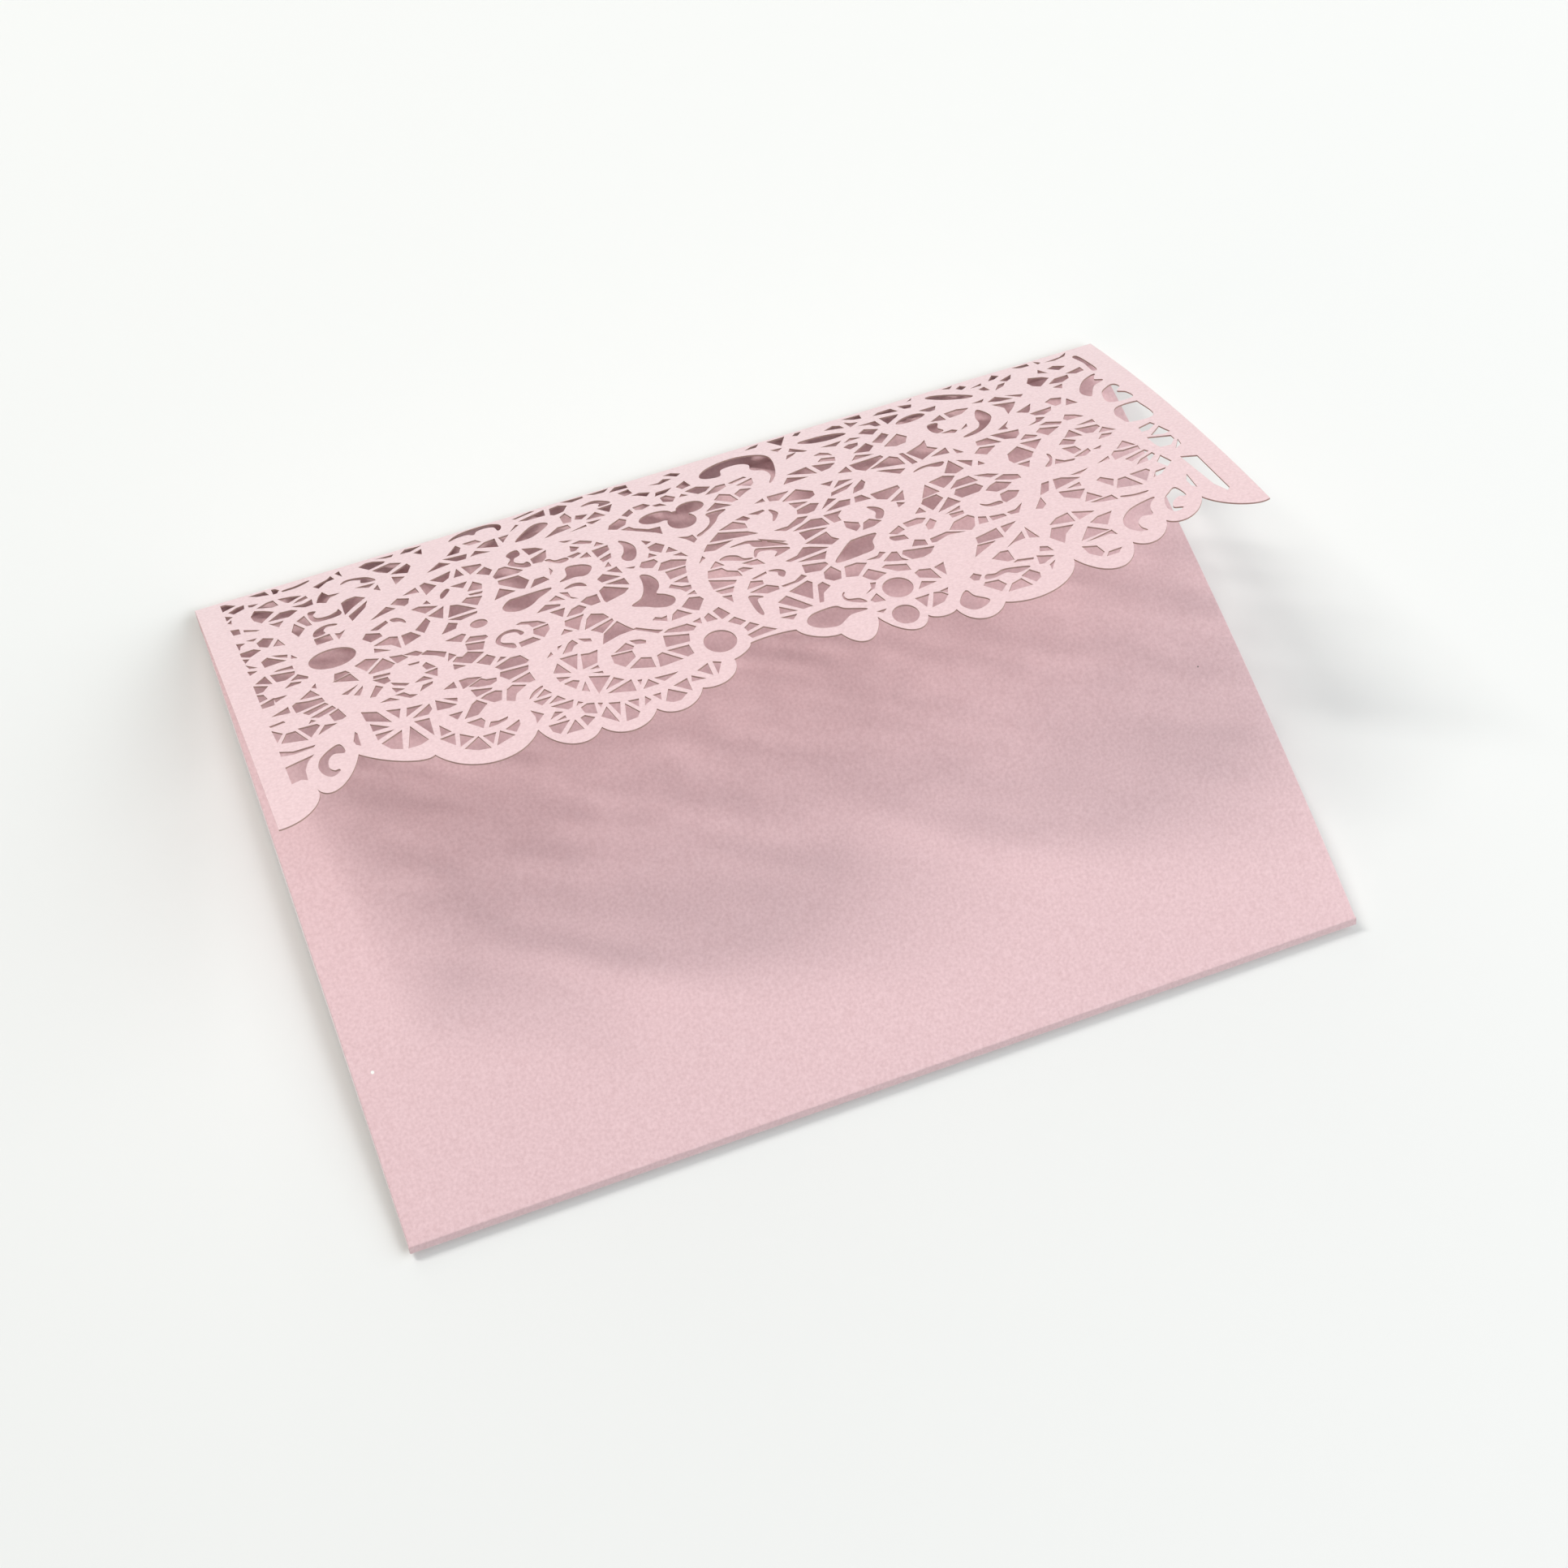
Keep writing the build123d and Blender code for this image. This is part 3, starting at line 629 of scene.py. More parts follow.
    (725, 843, 736, 827, 743, 830, 742, 868, 736, 868),
    (770, 868, 773, 853, 779, 860, 781, 878),
    (694, 884, 699, 875, 704, 888, 699, 902, 695, 898),
    (740, 879, 745, 874, 759, 884, 758, 889),
    (761, 912, 764, 882, 778, 898, 765, 914),
    (767, 945, 769, 926, 776, 915),
    (700, 927, 703, 918, 715, 923, 719, 945, 711, 963),
    (717, 973, 725, 950, 735, 943, 740, 974),
    (738, 934, 748, 922, 754, 942, 752, 958, 746, 967),
    (797, 785, 807, 767, 820, 760, 820, 798),
    (825, 762, 844, 783, 826, 797),
    (796, 800, 816, 810, 803, 835, 796, 865, 788, 832),
    (833, 822, 843, 808, 858, 804, 845, 847),
    (812, 878, 827, 835, 842, 868),
    (814, 887, 844, 873, 846, 892, 840, 883),
    (808, 900, 820, 912, 822, 940, 817, 952, 809, 930),
    (822, 958, 827, 945, 840, 943, 834, 957),
    (812, 659, 822, 615, 829, 614, 822, 650),
    (830, 654, 835, 613, 843, 615, 859, 636),
    (839, 665, 854, 656, 853, 670),
    (830, 695, 830, 670, 853, 688, 842, 719),
    (845, 738, 853, 706, 862, 738),
    (848, 747, 871, 744, 873, 765, 855, 755),
    # right side
    (800, 362, 802, 342, 814, 340, 823, 378, 814, 373),
    (820, 332, 848, 344, 845, 365, 839, 380, 829, 370),
    (791, 395, 800, 375, 814, 387, 800, 415),
    (842, 396, 850, 379, 859, 398, 856, 403),
    (838, 412, 859, 420, 846, 456),
    (814, 475, 818, 445, 832, 423, 841, 468, 835, 488, 816, 492),
    (818, 502, 830, 503, 825, 528),
    (832, 317, 848, 287, 840, 310, 840, 324),
    (850, 158, 860, 143, 874, 178, 860, 172),
    (850, 180, 872, 200, 865, 225, 855, 252, 858, 215),
    (870, 150, 886, 172, 882, 182),
    (864, 258, 883, 235, 877, 263, 873, 275),
    (874, 285, 897, 282, 894, 298, 885, 308, 877, 300),
    (860, 342, 872, 330, 875, 314, 882, 323, 874, 336),
    (871, 355, 879, 349, 892, 369, 889, 378),
    (862, 383, 868, 370, 885, 388, 869, 412),
    (897, 360, 902, 342, 910, 355, 916, 373, 899, 370),
    (881, 448, 891, 420, 897, 460),
    (897, 422, 919, 433, 920, 444, 909, 462, 903, 457),
    (870, 472, 878, 453, 887, 473, 882, 487),
    (869, 493, 881, 500, 883, 523, 874, 530),
    (915, 470, 922, 452, 931, 480, 923, 474),
    (908, 500, 915, 483, 924, 490, 920, 498),
    (901, 408, 920, 402, 920, 416),
    (898, 250, 906, 239, 915, 250, 909, 280, 903, 283),
    (913, 295, 919, 264, 924, 298),
    (902, 120, 908, 95, 920, 110, 925, 125, 910, 158, 904, 145),
    (920, 160, 930, 140, 944, 140, 942, 158, 932, 170),
    (922, 82, 925, 63, 930, 95),
    (935, 73, 942, 66, 952, 85, 943, 97),
    (945, 130, 963, 118, 963, 140, 954, 144),
    (920, 185, 930, 180, 926, 202),
    (872, 40, 880, 15, 885, 28, 878, 40),
    (882, 60, 897, 42, 892, 65, 887, 72),
    (848, 53, 862, 42, 860, 53),
    (868, 105, 876, 80, 883, 79, 878, 95),
    (855, 73, 861, 68, 863, 93, 858, 88),
    (836, 30, 842, 20, 846, 35, 840, 44),
    (906, 6, 922, 8, 922, 22, 912, 19),
    (930, 5, 935, 23, 932, 28),
    (940, 30, 958, 26, 968, 8, 963, 26, 950, 35),
    (951, 525, 952, 505, 966, 496, 968, 508, 958, 525),
    (956, 552, 970, 524, 974, 558, 967, 562),
    (951, 600, 950, 558, 971, 578, 971, 595, 963, 616, 953, 613),
    (964, 638, 974, 602, 972, 625),
    (961, 678, 975, 693, 975, 850, 972, 857, 966, 820),
    (946, 775, 951, 752, 949, 812, 946, 800),
    (915, 565, 926, 540, 933, 570),
    (904, 608, 905, 585, 910, 572, 918, 580, 934, 579, 933, 595),
    (913, 620, 936, 605, 938, 614, 916, 635),
    (918, 655, 925, 640, 940, 626, 941, 635, 932, 652),
    (937, 670, 945, 648, 949, 682, 942, 697),
    (921, 726, 928, 705, 939, 702, 930, 720),
    (904, 686, 921, 684, 923, 693, 912, 730),
    (882, 723, 890, 690, 897, 690, 906, 739),
    (871, 670, 876, 662, 885, 685, 880, 710),
    (853, 615, 874, 608, 862, 622),
    (885, 602, 900, 586, 899, 597),
    (850, 550, 854, 532, 860, 548, 870, 553, 868, 558),
    (872, 545, 890, 527, 890, 540, 882, 553),
    (894, 536, 904, 530, 900, 542),
)

# Curls, leaves and crescents, with smooth closed outlines
curl_shares = (
    (90, 33, 103, 30, 116, 20, 117, 25, 104, 38, 91, 39),
    (146, 94, 152, 82, 162, 85, 173, 99, 179, 126, 166, 120, 166, 102, 156, 89, 149, 93),
    (103, 195, 110, 196, 106, 212, 109, 232, 120, 237, 130, 227, 132, 220, 131, 248, 106, 246),
    (99, 318, 101, 295, 109, 281, 117, 279, 124, 287, 122, 291, 114, 287, 109, 300, 109, 316),
    (174, 344, 180, 345, 185, 360, 186, 376, 182, 363, 176, 357),
    (79, 780, 69, 788, 58, 812, 54, 843, 57, 870, 63, 881, 70, 872, 70, 865, 66, 865, 62, 850, 64, 823, 71,
     806, 81, 812),
    (267, 36, 276, 16, 290, 6, 310, 6, 321, 22, 322, 42, 318, 56, 316, 30, 306, 21, 297, 26, 293, 40, 287, 29,
     276, 29),
    (327, 145, 330, 149, 343, 148, 359, 122, 366, 100, 360, 85, 350, 88, 336, 118),
    (230, 318, 231, 298, 238, 280, 240, 290),
    (310, 208, 315, 194, 322, 193, 322, 219, 315, 230, 313, 250, 320, 268, 325, 266, 326, 288, 319, 287, 307,
     255, 312, 230),
    (331, 419, 315, 448, 305, 468, 292, 477, 281, 465, 279, 445, 287, 421, 296, 417),
    (342, 286, 346, 286, 350, 300, 361, 302, 362, 315, 354, 319, 347, 304),
    (270, 604, 270, 623, 262, 606, 256, 583, 260, 560, 269, 547, 278, 550, 284, 570, 281, 578, 279, 563, 273,
     556, 265, 558, 260, 575, 261, 590),
    (259, 827, 265, 808, 274, 796, 273, 803, 264, 818),
    (408, 62, 417, 52, 426, 56, 436, 85, 424, 90, 426, 76, 420, 64),
    (418, 300, 425, 320, 428, 350, 425, 385, 419, 405, 413, 400, 411, 380, 416, 360, 419, 330),
    (491, 383, 500, 370, 509, 348, 513, 320, 513, 296, 532, 300, 522, 320, 515, 345, 504, 370, 492, 390),
    (356, 350, 370, 355, 378, 375, 375, 397, 368, 410, 358, 403, 343, 406, 352, 388),
    (343, 443, 352, 432, 360, 438, 363, 457, 354, 444),
    (416, 485, 423, 495, 427, 525, 425, 555, 419, 578, 426, 593, 432, 615, 430, 635, 422, 644, 412, 635, 404,
     620, 392, 600, 403, 583, 410, 555, 414, 520),
    (494, 523, 502, 514, 511, 526, 515, 546, 523, 555, 515, 556, 503, 537),
    (497, 703, 508, 720, 501, 726, 499, 780, 497, 785, 495, 765, 495, 730),
    (511, 482, 525, 477, 532, 480, 545, 500, 562, 542, 545, 526, 532, 510, 530, 490, 522, 484),
    (526, 556, 531, 524, 540, 530, 561, 557, 553, 570, 544, 576, 549, 559, 542, 542, 532, 538),
    (529, 628, 537, 632, 542, 648, 538, 667, 535, 655, 536, 643),
    (563, 837, 570, 855, 588, 880, 572, 882, 563, 895, 554, 907, 540, 898, 532, 880, 531, 860, 538, 842, 550,
     836),
    (579, 797, 576, 810, 578, 826, 588, 836, 592, 855, 584, 846, 576, 827, 576, 807),
    (681, 925, 685, 950, 695, 978, 687, 995, 676, 995, 669, 963),
    (592, 678, 603, 642, 616, 612, 623, 606, 644, 607, 636, 635, 632, 667, 620, 675),
    (656, 489, 664, 502, 667, 525, 661, 552, 656, 546, 660, 520),
    (534, 95, 542, 68, 558, 50, 578, 45, 597, 60, 608, 85, 610, 120, 606, 170, 600, 210, 591, 237, 598, 200,
     596, 165, 585, 140, 587, 110, 580, 90, 569, 85, 557, 92, 552, 123, 538, 115),
    (648, 69, 670, 68, 688, 79, 697, 97, 680, 104, 660, 94),
    (570, 367, 575, 390, 571, 410, 566, 423, 570, 395),
    (750, 128, 760, 108, 775, 103, 783, 120, 773, 135, 760, 138),
    (800, 35, 808, 30, 825, 55, 842, 95, 835, 100, 815, 73),
    (773, 205, 776, 186, 785, 189, 781, 215, 784, 235, 778, 242, 774, 230),
    (832, 183, 838, 225, 834, 255, 822, 285, 808, 302, 796, 300, 815, 280, 822, 255, 824, 220),
    (723, 395, 735, 382, 756, 387, 750, 404, 740, 389, 732, 390),
    (754, 620, 760, 632, 772, 632, 773, 644, 760, 640),
    (706, 906, 709, 893, 717, 898, 728, 892, 749, 907, 747, 914, 736, 918, 727, 905, 715, 910),
    (840, 548, 849, 525, 851, 497, 852, 515, 845, 548),
    (937, 260, 943, 225, 954, 193, 968, 178, 962, 205, 969, 222, 955, 240, 946, 275, 942, 288),
    (952, 345, 955, 290, 965, 266, 973, 260, 976, 280, 969, 300, 976, 318, 976, 352),
    (946, 440, 945, 410, 953, 380, 973, 377, 976, 390, 976, 465, 950, 465),
    (969, 50, 974, 55, 976, 148, 971, 155, 972, 100),
    (930, 790, 933, 828, 926, 825, 917, 838, 913, 860, 921, 870, 912, 876, 908, 855, 913, 820, 922, 800),
    (904, 801, 897, 818, 892, 840, 890, 860, 880, 857, 872, 873, 871, 895, 874, 911, 867, 906, 860, 885, 860,
     860, 867, 835, 880, 814),
    (878, 760, 890, 768, 905, 770, 895, 775, 882, 769),
)

# Round and oval gaps: middle, half width and half height
oval_shares = (
    (106, 436, 23, 41),
    (447, 833, 15, 41),
    (627, 839, 14, 38),
    (617, 940, 12, 34),
    (250, 479, 8, 17),
)

# Ovals that run together in the three-lobed leaf
trefoil_shares = (
    (466, 238, 17, 28),
    (503, 237, 14, 28),
    (487, 293, 14, 38),
    (485, 256, 14, 20),
)


# Middle line of the card in the YZ plane, from the pocket mouth round to the flap's tip


def card_rows():
    """Rows along the card's middle line: running length, place and outward normal, and the strokes' ends."""
    low_y = cad_low[1] + half_card
    high_y = cad_high[1] - half_card
    spine_top = Vector((low_y + spine_setback, half_card + spine_rise))
    mouth = Vector((cad_high[1] - mouth_setback, card_thickness + mouth_gap + half_card))
    chord = spine_top - mouth
    half_sweep = 2 * atan(2 * front_bow / chord.length)
    front_radius = chord.length / 2 / sin(half_sweep)
    chord_heading = atan2(chord.y, chord.x)
    spine_heading = pi + atan2(spine_rise, spine_setback)
    top_turn = spine_heading - chord_heading - half_sweep
    bottom_turn = 2 * pi - spine_heading
    top_trim = crease_radius * tan(top_turn / 2)
    bottom_trim = crease_radius * tan(bottom_turn / 2)
    spine_length = Vector((spine_setback, spine_rise)).length
    front_length = 2 * half_sweep * front_radius - top_trim
    back_length = high_y - fold_radius - low_y - bottom_trim
    fold_turn = pi - flap_lift
    flap_length = flap_reach_share * flap_depth
    strokes = (
        (front_length, front_length / front_radius, front_steps),
        (crease_radius * top_turn, top_turn, crease_steps),
        (spine_length - top_trim - bottom_trim, 0, crease_steps),
        (crease_radius * bottom_turn, bottom_turn, crease_steps),
        (back_length, 0, back_steps),
        (fold_radius * fold_turn, fold_turn, fold_steps),
        (flap_length, flap_length / flap_bend_radius, flap_steps),
    )
    place = mouth
    heading = chord_heading - half_sweep
    run = 0.0
    rows = [(run, place, Vector((sin(heading), -cos(heading))))]
    ends = []
    for length, turn, steps in strokes:
        for _ in range(steps):
            half_turn = turn / steps / 2
            reach = length / steps
            if turn:
                reach = reach * sin(half_turn) / half_turn
            heading += half_turn
            place = place + reach * Vector((cos(heading), sin(heading)))
            heading += half_turn
            run += length / steps
            rows.append((run, place, Vector((sin(heading), -cos(heading)))))
        ends.append(run)
    back_end = rows[-1 - flap_steps - fold_steps][1]
    shift = Vector((high_y - fold_radius, half_card)) - back_end
    rows = [(run, place + shift, normal) for run, place, normal in rows]
    return rows, ends


rows, stroke_ends = card_rows()
row_runs = [row[0] for row in rows]
front_end, _, _, spine_end, fold_start, flap_start, _ = stroke_ends
tab_edge = half_width - card_thickness
spine_foot = cad_low[1] + card_thickness + half_card


def on_card(x, run, lift):
    """Place in the frame of a point of the flat sheet, lifted off the card's middle to its outer side."""
    after = min(max(bisect.bisect_right(row_runs, run), 1), len(rows) - 1)
    run_a, place_a, normal_a = rows[after - 1]
    run_b, place_b, normal_b = rows[after]
    share = (run - run_a) / (run_b - run_a)
    normal = normal_a.lerp(normal_b, share).normalized()
    place = place_a.lerp(place_b, share) + normal * lift
    return Vector((x, place.x, place.y))


# Outline and gaps of the flat sheet: X across, Y along the card's middle line


def flap_point(across, down):
    """Point of the flat sheet at a place of the lace."""
    return Vector(((2 * across * share_unit - 1) * half_width, flap_start + down * share_unit * flap_depth))


def flap_points(row):
    """Points of the flat sheet for a row of places."""
    return [flap_point(across, down) for across, down in zip(row[::2], row[1::2])]


def scallop(start, middle, end):
    """Points of a curve through three places, without its start."""
    weight = scallop_weight_share
    pull = middle * (1 + weight) - (start + end) / 2
    points = []
    for step in range(1, scallop_steps + 1):
        share = step / scallop_steps
        rest = 1 - share
        whole = rest * rest + 2 * weight * share * rest + share * share
        points.append((start * rest * rest + pull * 2 * share * rest + end * share * share) / whole)
    return points


def free_edge():
    """Scalloped edge from the left corner to the right."""
    points = flap_points(edge_start_shares)
    for row in edge_curve_shares:
        points += scallop(points[-1], *flap_points(row))
    return points


def side_points(sign, corner):
    """Side of the sheet from the mouth to the flap's corner, narrower where the side tabs turn down."""
    points = [Vector((sign * tab_edge, run)) for run in row_runs if run <= front_end]
    points += [Vector((sign * half_width, run)) for run in row_runs if front_end <= run < corner.y - weld_gap]
    return points


def smooth_loop(corners):
    """Closed smooth curve through the corners, by the Catmull-Rom formula."""
    points = []
    count = len(corners)
    for index in range(count):
        before, here, there, after = (corners[(index + step) % count] for step in (-1, 0, 1, 2))
        for step in range(curve_steps):
            share = step / curve_steps
            square = share * share
            cube = square * share
            points.append((
                before * (2 * square - share - cube)
                + here * (2 - 5 * square + 3 * cube)
                + there * (share + 4 * square - 3 * cube)
                + after * (cube - square)
            ) / 2)
    return points


def oval(row):
    """Oval gap with its axes along and across the flap."""
    across, down, half_across, half_down = row
    turns = [2 * pi * step / oval_steps for step in range(oval_steps)]
    return [flap_point(across + half_across * cos(turn), down + half_down * sin(turn)) for turn in turns]


def counter_clockwise(loop):
    """The loop, turned round if it runs clockwise."""
    area = sum(a.x * b.y - b.x * a.y for a, b in zip(loop, loop[1:] + loop[:1]))
    return loop if area > 0 else loop[::-1]


def grown(loop):
    """Counter-clockwise gap, with its sides moved outwards."""
    normals = []
    for here, there in zip(loop, loop[1:] + loop[:1]):
        along = (there - here).normalized()
        normals.append(Vector((along.y, -along.x)))
    points = []
    for place, before, after in zip(loop, normals[-1:] + normals[:-1], normals):
        spread = max(1 + before.dot(after), sharpest_mitre_share)
        points.append(place + (before + after) * gap_growth / spread)
    return points


def flat_sheet():
    """Points and triangles of the flat sheet: its outline filled, with the gaps left open."""
    edge = free_edge()
    left = side_points(-1, edge[0])
    right = side_points(1, edge[-1])
    gaps = [flap_points(row) for row in cell_shares]
    gaps += [smooth_loop(flap_points(row)) for row in curl_shares]
    gaps += [oval(row) for row in oval_shares + trefoil_shares]
    loops = [counter_clockwise(left + edge + right[::-1])]
    loops += [grown(counter_clockwise(gap)) for gap in gaps]
    points = []
    faces = []
    for loop in loops:
        faces.append(list(range(len(points), len(points) + len(loop))))
        points += loop
    edges = []
    columns = int(2 * half_width / grid_step)
    for run in row_runs:
        crease_row = front_end <= run <= spine_end or fold_start <= run <= flap_start
        if crease_row:
            edges.append((len(points), len(points) + 1))
            points += [Vector((-half_width, run)), Vector((half_width, run))]
        for column in range(1, columns):
            points.append(Vector(((2 * column / columns - 1) * tab_edge, run)))
    flat, _, triangles, _, _, sources = delaunay_2d_cdt(points, edges, faces, 0, weld_gap)
    kept = [corners for corners, source in zip(triangles, sources) if list(source) == [0]]
    return flat, kept


# The card as a mesh: both faces of the sheet, its cut edges, and the side tabs


def add_face(mesh, corners, material):
    """Adds one face to the mesh."""
    face = mesh.faces.new([mesh.verts.new(corner) for corner in corners])
    face.material_index = material


def is_tab_fold(a, b):
    """True for an edge of the flat sheet where a side tab turns down."""
    on_side = abs(abs(a.x) - tab_edge) < weld_gap and abs(abs(b.x) - tab_edge) < weld_gap
    return on_side and max(a.y, b.y) <= front_end + weld_gap


def add_sheet(mesh):
    """Outer face, inner face and cut edges of the sheet."""
    flat, triangles = flat_sheet()
    # Sides of one triangle alone: a side that two triangles share is taken out again
    sides = {}
    for corners in triangles:
        outer = [on_card(flat[corner].x, flat[corner].y, half_card) for corner in corners]
        inner = [on_card(flat[corner].x, flat[corner].y, -half_card) for corner in corners]
        add_face(mesh, outer, 0)
        add_face(mesh, inner[::-1], 0)
        for start, end in zip(corners, corners[1:] + corners[:1]):
            if (end, start) in sides:
                del sides[(end, start)]
            else:
                sides[(start, end)] = True
    for start, end in sides:
        a = flat[start]
        b = flat[end]
        if not is_tab_fold(a, b):
            add_face(mesh, [
                on_card(a.x, a.y, half_card),
                on_card(a.x, a.y, -half_card),
                on_card(b.x, b.y, -half_card),
                on_card(b.x, b.y, half_card),
            ], 1)


def tab_section(sign, run):
    """Section of a side tab across the front panel's edge: its outer corners, then its inner ones."""
    outer = []
    for step in range(tab_steps + 1):
        turn = pi / 2 * step / tab_steps
        reach = tab_edge + card_thickness * sin(turn)
        outer.append(on_card(sign * reach, run, half_card - card_thickness * (1 - cos(turn))))
    inner = on_card(sign * tab_edge, run, -half_card)
    outer.append(Vector((outer[-1].x, outer[-1].y, card_thickness)))
    return outer + [Vector((inner.x, inner.y, card_thickness)), inner]


def add_tab(mesh, sign):
    """Side tab: a wall that turns down from the front panel, and a foot glued to the back panel."""
    sections = [tab_section(sign, run) for run in row_runs if run <= front_end]
    # The two lower corners of the wall's last section reach out to the foot of the spine
    for corner in sections[-1][-3:-1]:
        corner.y = spine_foot
    for near, far in zip(sections, sections[1:]):
        for index in range(len(near) - 1):
            add_face(mesh, [near[index], near[index + 1], far[index + 1], far[index]][::sign], 0)
    add_face(mesh, sections[0][::-sign], 0)
    add_face(mesh, sections[-1][::sign], 0)
    bottom = sections[-1][-1].y + tab_inset
    top = sections[0][-1].y - tab_inset
    inner_x = half_width - half_card - tab_width
    outline = ((tab_edge, bottom), (inner_x, bottom + tab_taper), (inner_x, top - tab_taper), (tab_edge, top))
    under = [Vector((sign * x, y, card_thickness)) for x, y in outline]
    over = [corner + Vector((0, 0, card_thickness)) for corner in under]
    add_face(mesh, under[::sign], 0)
    add_face(mesh, over[::-sign], 0)
    for index in range(len(under)):
        following = (index + 1) % len(under)
        add_face(mesh, [under[index], over[index], over[following], under[following]][::sign], 1)


def add_object(name, data):
    """New object in the scene."""
    thing = bpy.data.objects.new(name, data)
    bpy.context.scene.collection.objects.link(thing)
    return thing


def build_card():
    """The whole invitation as one mesh."""
    mesh = bmesh.new()
    add_sheet(mesh)
    add_tab(mesh, 1)
    add_tab(mesh, -1)
    bmesh.ops.remove_doubles(mesh, verts=mesh.verts, dist=weld_gap)
    data = bpy.data.meshes.new("pocket_card")
    mesh.to_mesh(data)
    mesh.free()
    data.shade_smooth()
    data.set_sharp_from_angle(angle=sharp_angle)
    return add_object("pocket_card", data)


# Finishes


def new_material(name):
    """New material and its node tree."""
    material = bpy.data.materials.new(name)
    material.use_nodes = True
    return material, material.node_tree


def set_inputs(tree, node, inputs):
    """Sets each input of a node to a value, or links it to another node's output."""
    for name, value in inputs.items():
        if isinstance(value, bpy.types.NodeSocket):
            tree.links.new(value, node.inputs[name])
        else:
            node.inputs[name].default_value = value


def add_node(tree, kind, inputs, **settings):
    """New node with its settings and inputs."""
    node = tree.nodes.new(kind)
    for name, value in settings.items():
        setattr(node, name, value)
    set_inputs(tree, node, inputs)
    return node


def object_place(tree):
    """Place in the object's own coordinates."""
    return tree.nodes.new("ShaderNodeTexCoord").outputs["Object"]


def add_noise(tree, scale):
    """Noise in the object's own coordinates."""
    inputs = {"Vector": object_place(tree), "Scale": scale, "Detail": noise_detail}
    return add_node(tree, "ShaderNodeTexNoise", inputs).outputs["Fac"]


def mix_colour(tree, factor, first, second):
    """Colour between two, each a fixed colour or the output of a node."""
    inputs = {"Factor": factor, "A": first, "B": second}
    return add_node(tree, "ShaderNodeMix", inputs, data_type="RGBA").outputs["Result"]


def mix_surface(tree, factor, first, second, output):
    """Sends a mix of two shaders to the output node."""
    mix = add_node(tree, "ShaderNodeMixShader", {"Fac": factor, 1: first, 2: second})
    set_inputs(tree, tree.nodes[output], {"Surface": mix.outputs["Shader"]})


def speck_factor(tree, place, radius):
    """One within a radius of a place, and zero elsewhere."""
    gap = add_node(tree, "ShaderNodeVectorMath", {0: object_place(tree), 1: place}, operation="DISTANCE")
    inside = add_node(tree, "ShaderNodeMath", {0: gap.outputs["Value"], 1: radius}, operation="LESS_THAN")
    return inside.outputs["Value"]


def card_material():
    """Blush card with a fine felt grain and two specks."""
    material, tree = new_material("blush_card")
    grain = add_noise(tree, grain_scale)
    pale = speck_factor(tree, pale_speck, pale_speck_radius)
    dark = speck_factor(tree, dark_speck, dark_speck_radius)
    colour = mix_colour(tree, grain, blush, blush_deep)
    colour = mix_colour(tree, pale, colour, pale_speck_colour)
    colour = mix_colour(tree, dark, colour, dark_speck_colour)
    relief = {"Height": grain, "Strength": grain_strength, "Distance": grain_height}
    set_inputs(tree, tree.nodes["Principled BSDF"], {
        "Base Color": colour,
        "Roughness": card_roughness,
        "Specular IOR Level": card_specular,
        "Sheen Weight": card_sheen,
        "Sheen Roughness": card_sheen_roughness,
        "Normal": add_node(tree, "ShaderNodeBump", relief).outputs["Normal"],
    })
    return material


def edge_material():
    """Cut edge of the card, browned by the cutting."""
    material, tree = new_material("cut_edge")
    set_inputs(tree, tree.nodes["Principled BSDF"], {
        "Base Color": mix_colour(tree, add_noise(tree, burn_scale), edge_colour, edge_deep),
        "Roughness": edge_roughness,
        "Specular IOR Level": edge_specular,
    })
    return material


def background_rays(tree):
    """One for rays that show the background: straight from the camera, in gloss or through glass."""
    rays = tree.nodes.new("ShaderNodeLightPath").outputs
    shown = rays["Is Camera Ray"]
    for name in ("Is Glossy Ray", "Is Transmission Ray"):
        either = add_node(tree, "ShaderNodeMath", {0: shown, 1: rays[name]}, operation="MAXIMUM")
        shown = either.outputs["Value"]
    return shown


def floor_material():
    """Plain pale floor that fades into the backdrop far from the invitation."""
    material, tree = new_material("floor")
    shader = tree.nodes["Principled BSDF"]
    set_inputs(tree, shader, {
        "Base Color": floor_colour,
        "Roughness": floor_roughness,
        "Specular IOR Level": floor_specular,
    })
    reach = add_node(tree, "ShaderNodeVectorMath", {0: object_place(tree)}, operation="LENGTH")
    span = {"Value": reach.outputs["Value"], "From Min": fade_start, "From Max": fade_end}
    fade = add_node(tree, "ShaderNodeMapRange", span, interpolation_type="SMOOTHSTEP")
    factors = {0: fade.outputs["Result"], 1: background_rays(tree)}
    seen = add_node(tree, "ShaderNodeMath", factors, operation="MULTIPLY").outputs["Value"]
    backdrop = add_node(tree, "ShaderNodeEmission", {"Color": backdrop_colour}).outputs["Emission"]
    mix_surface(tree, seen, shader.outputs["BSDF"], backdrop, "Material Output")
    return material


# Stage, lights and camera


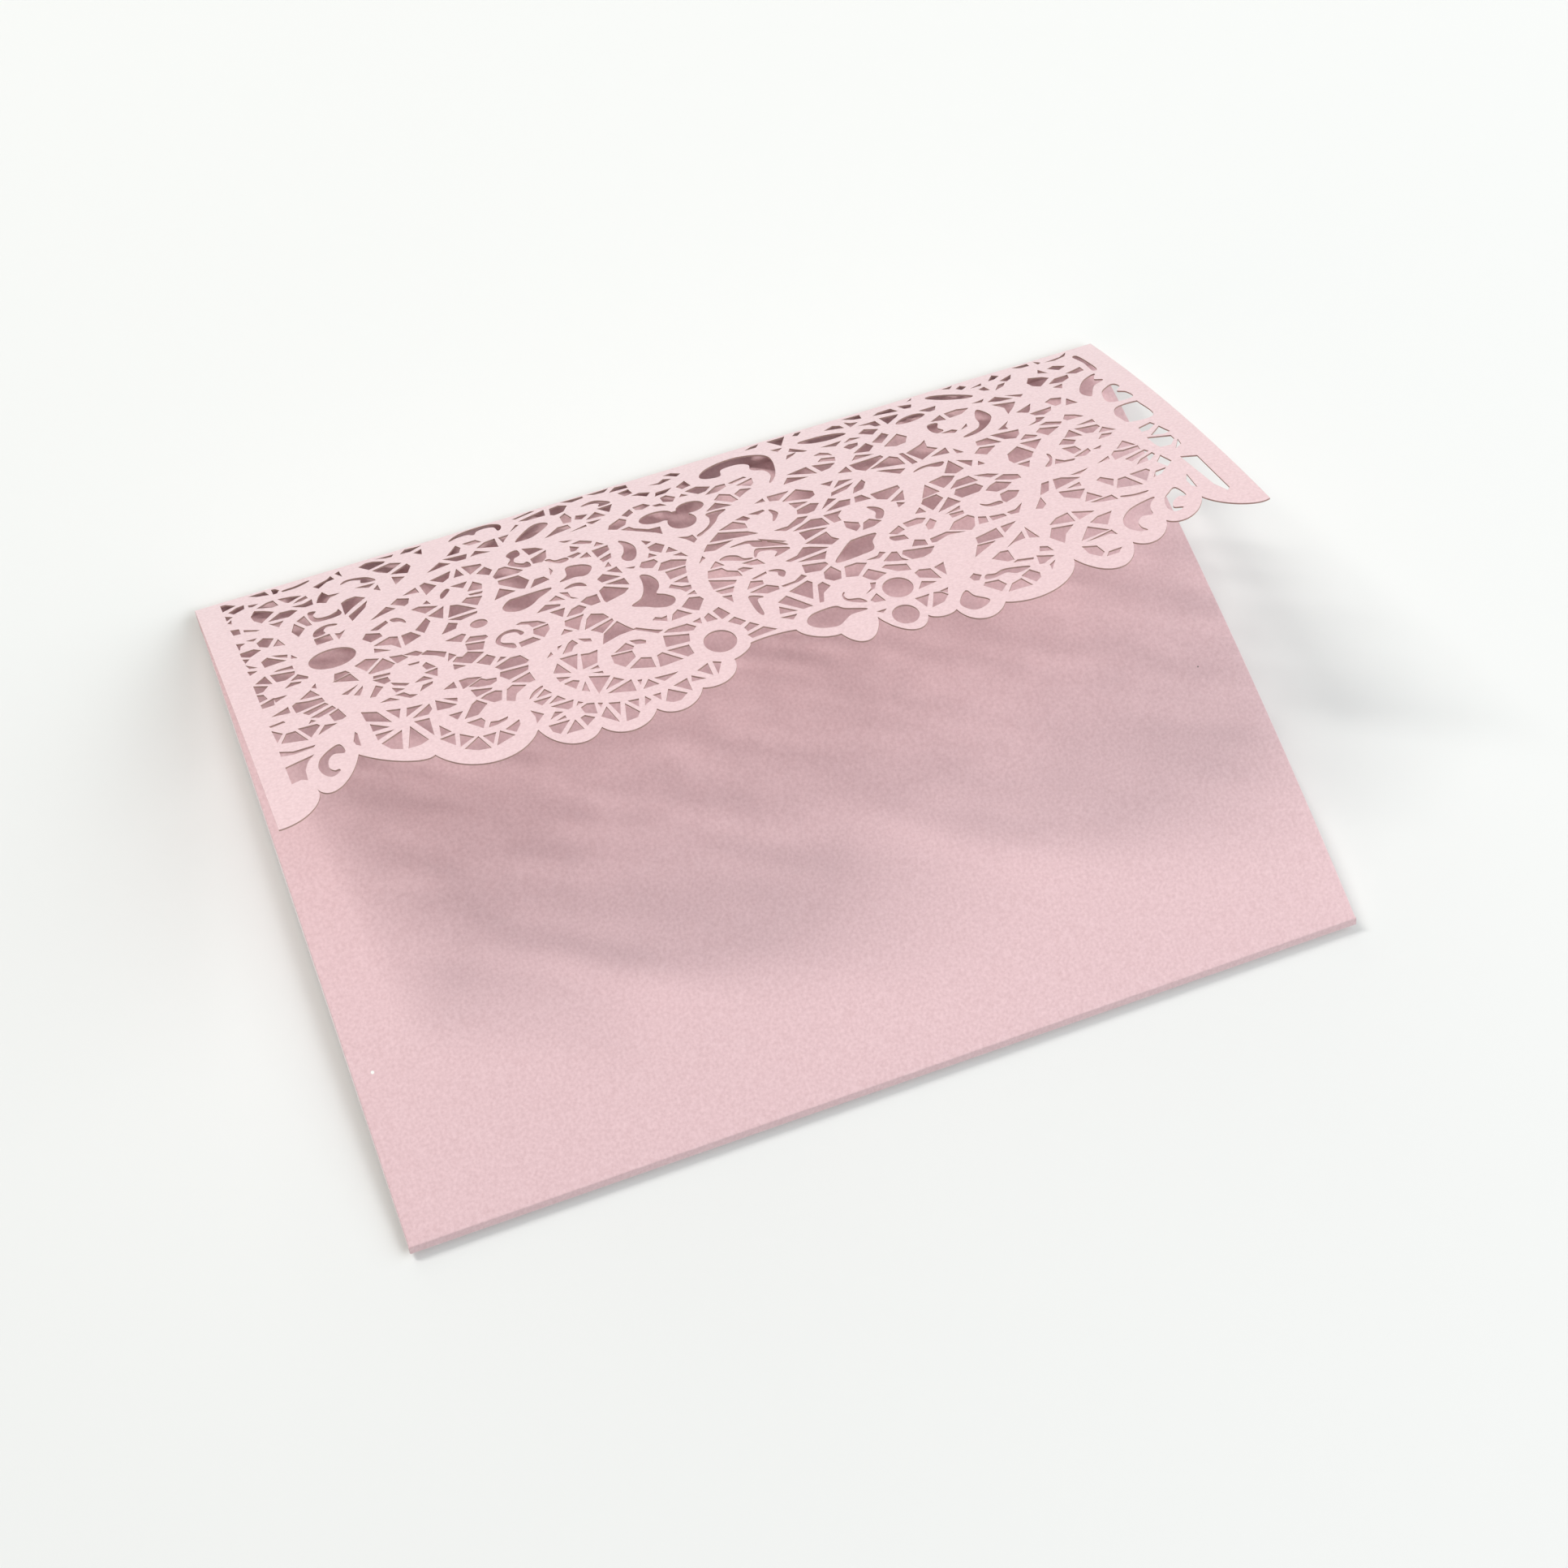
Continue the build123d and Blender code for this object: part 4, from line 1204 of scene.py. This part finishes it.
def aim_at(thing, target, roll):
    """Turns a lamp or camera so that it looks at a place, rolled about its own axis."""
    facing = (Vector(target) - thing.location).to_track_quat("-Z", "Y").to_matrix()
    thing.rotation_euler = (facing @ Matrix.Rotation(roll, 3, "Z")).to_euler()


def add_lamp(name, place, size, power, colour, roll):
    """Soft lamp that looks at the invitation."""
    data = bpy.data.lights.new(name, "AREA")
    data.shape = "RECTANGLE"
    data.size, data.size_y = size
    data.energy = power
    data.color = colour
    lamp = add_object(name, data)
    lamp.location = place
    aim_at(lamp, camera_aim, roll)


def add_floor():
    """Wide floor under the invitation."""
    corners = [(-1, -1), (1, -1), (1, 1), (-1, 1)]
    data = bpy.data.meshes.new("floor")
    places = [(x * floor_reach, y * floor_reach, -floor_drop) for x, y in corners]
    data.from_pydata(places, [], [(0, 1, 2, 3)])
    data.materials.append(floor_material())
    return add_object("floor", data)


def add_world():
    """Even light from all round, with a pale backdrop past the floor and in the card's soft gloss."""
    world = bpy.data.worlds.new("studio")
    world.use_nodes = True
    tree = world.node_tree
    light = tree.nodes["Background"]
    set_inputs(tree, light, {"Color": world_colour, "Strength": world_strength})
    backdrop = add_node(tree, "ShaderNodeBackground", {"Color": backdrop_colour}).outputs["Background"]
    mix_surface(tree, background_rays(tree), light.outputs["Background"], backdrop, "World Output")
    bpy.context.scene.world = world


def add_camera():
    """Camera at the photograph's angle."""
    data = bpy.data.cameras.new("camera")
    data.lens = camera_lens
    camera = add_object("camera", data)
    camera.location = camera_place
    aim_at(camera, camera_aim, camera_roll)
    bpy.context.scene.camera = camera


card = build_card()
card.data.materials.append(card_material())
card.data.materials.append(edge_material())
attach(card, "root")
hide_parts("pocket_sheet")
add_floor()
add_lamp("key", key_place, key_size, key_power, key_colour, key_roll)
add_lamp("back", back_place, back_size, back_power, back_colour, 0)
add_lamp("side", side_place, side_size, side_power, fill_colour, 0)
add_lamp("fill", fill_place, fill_size, fill_power, fill_colour, 0)
add_camera()
add_world()
bpy.context.scene.view_settings.view_transform = "Standard"
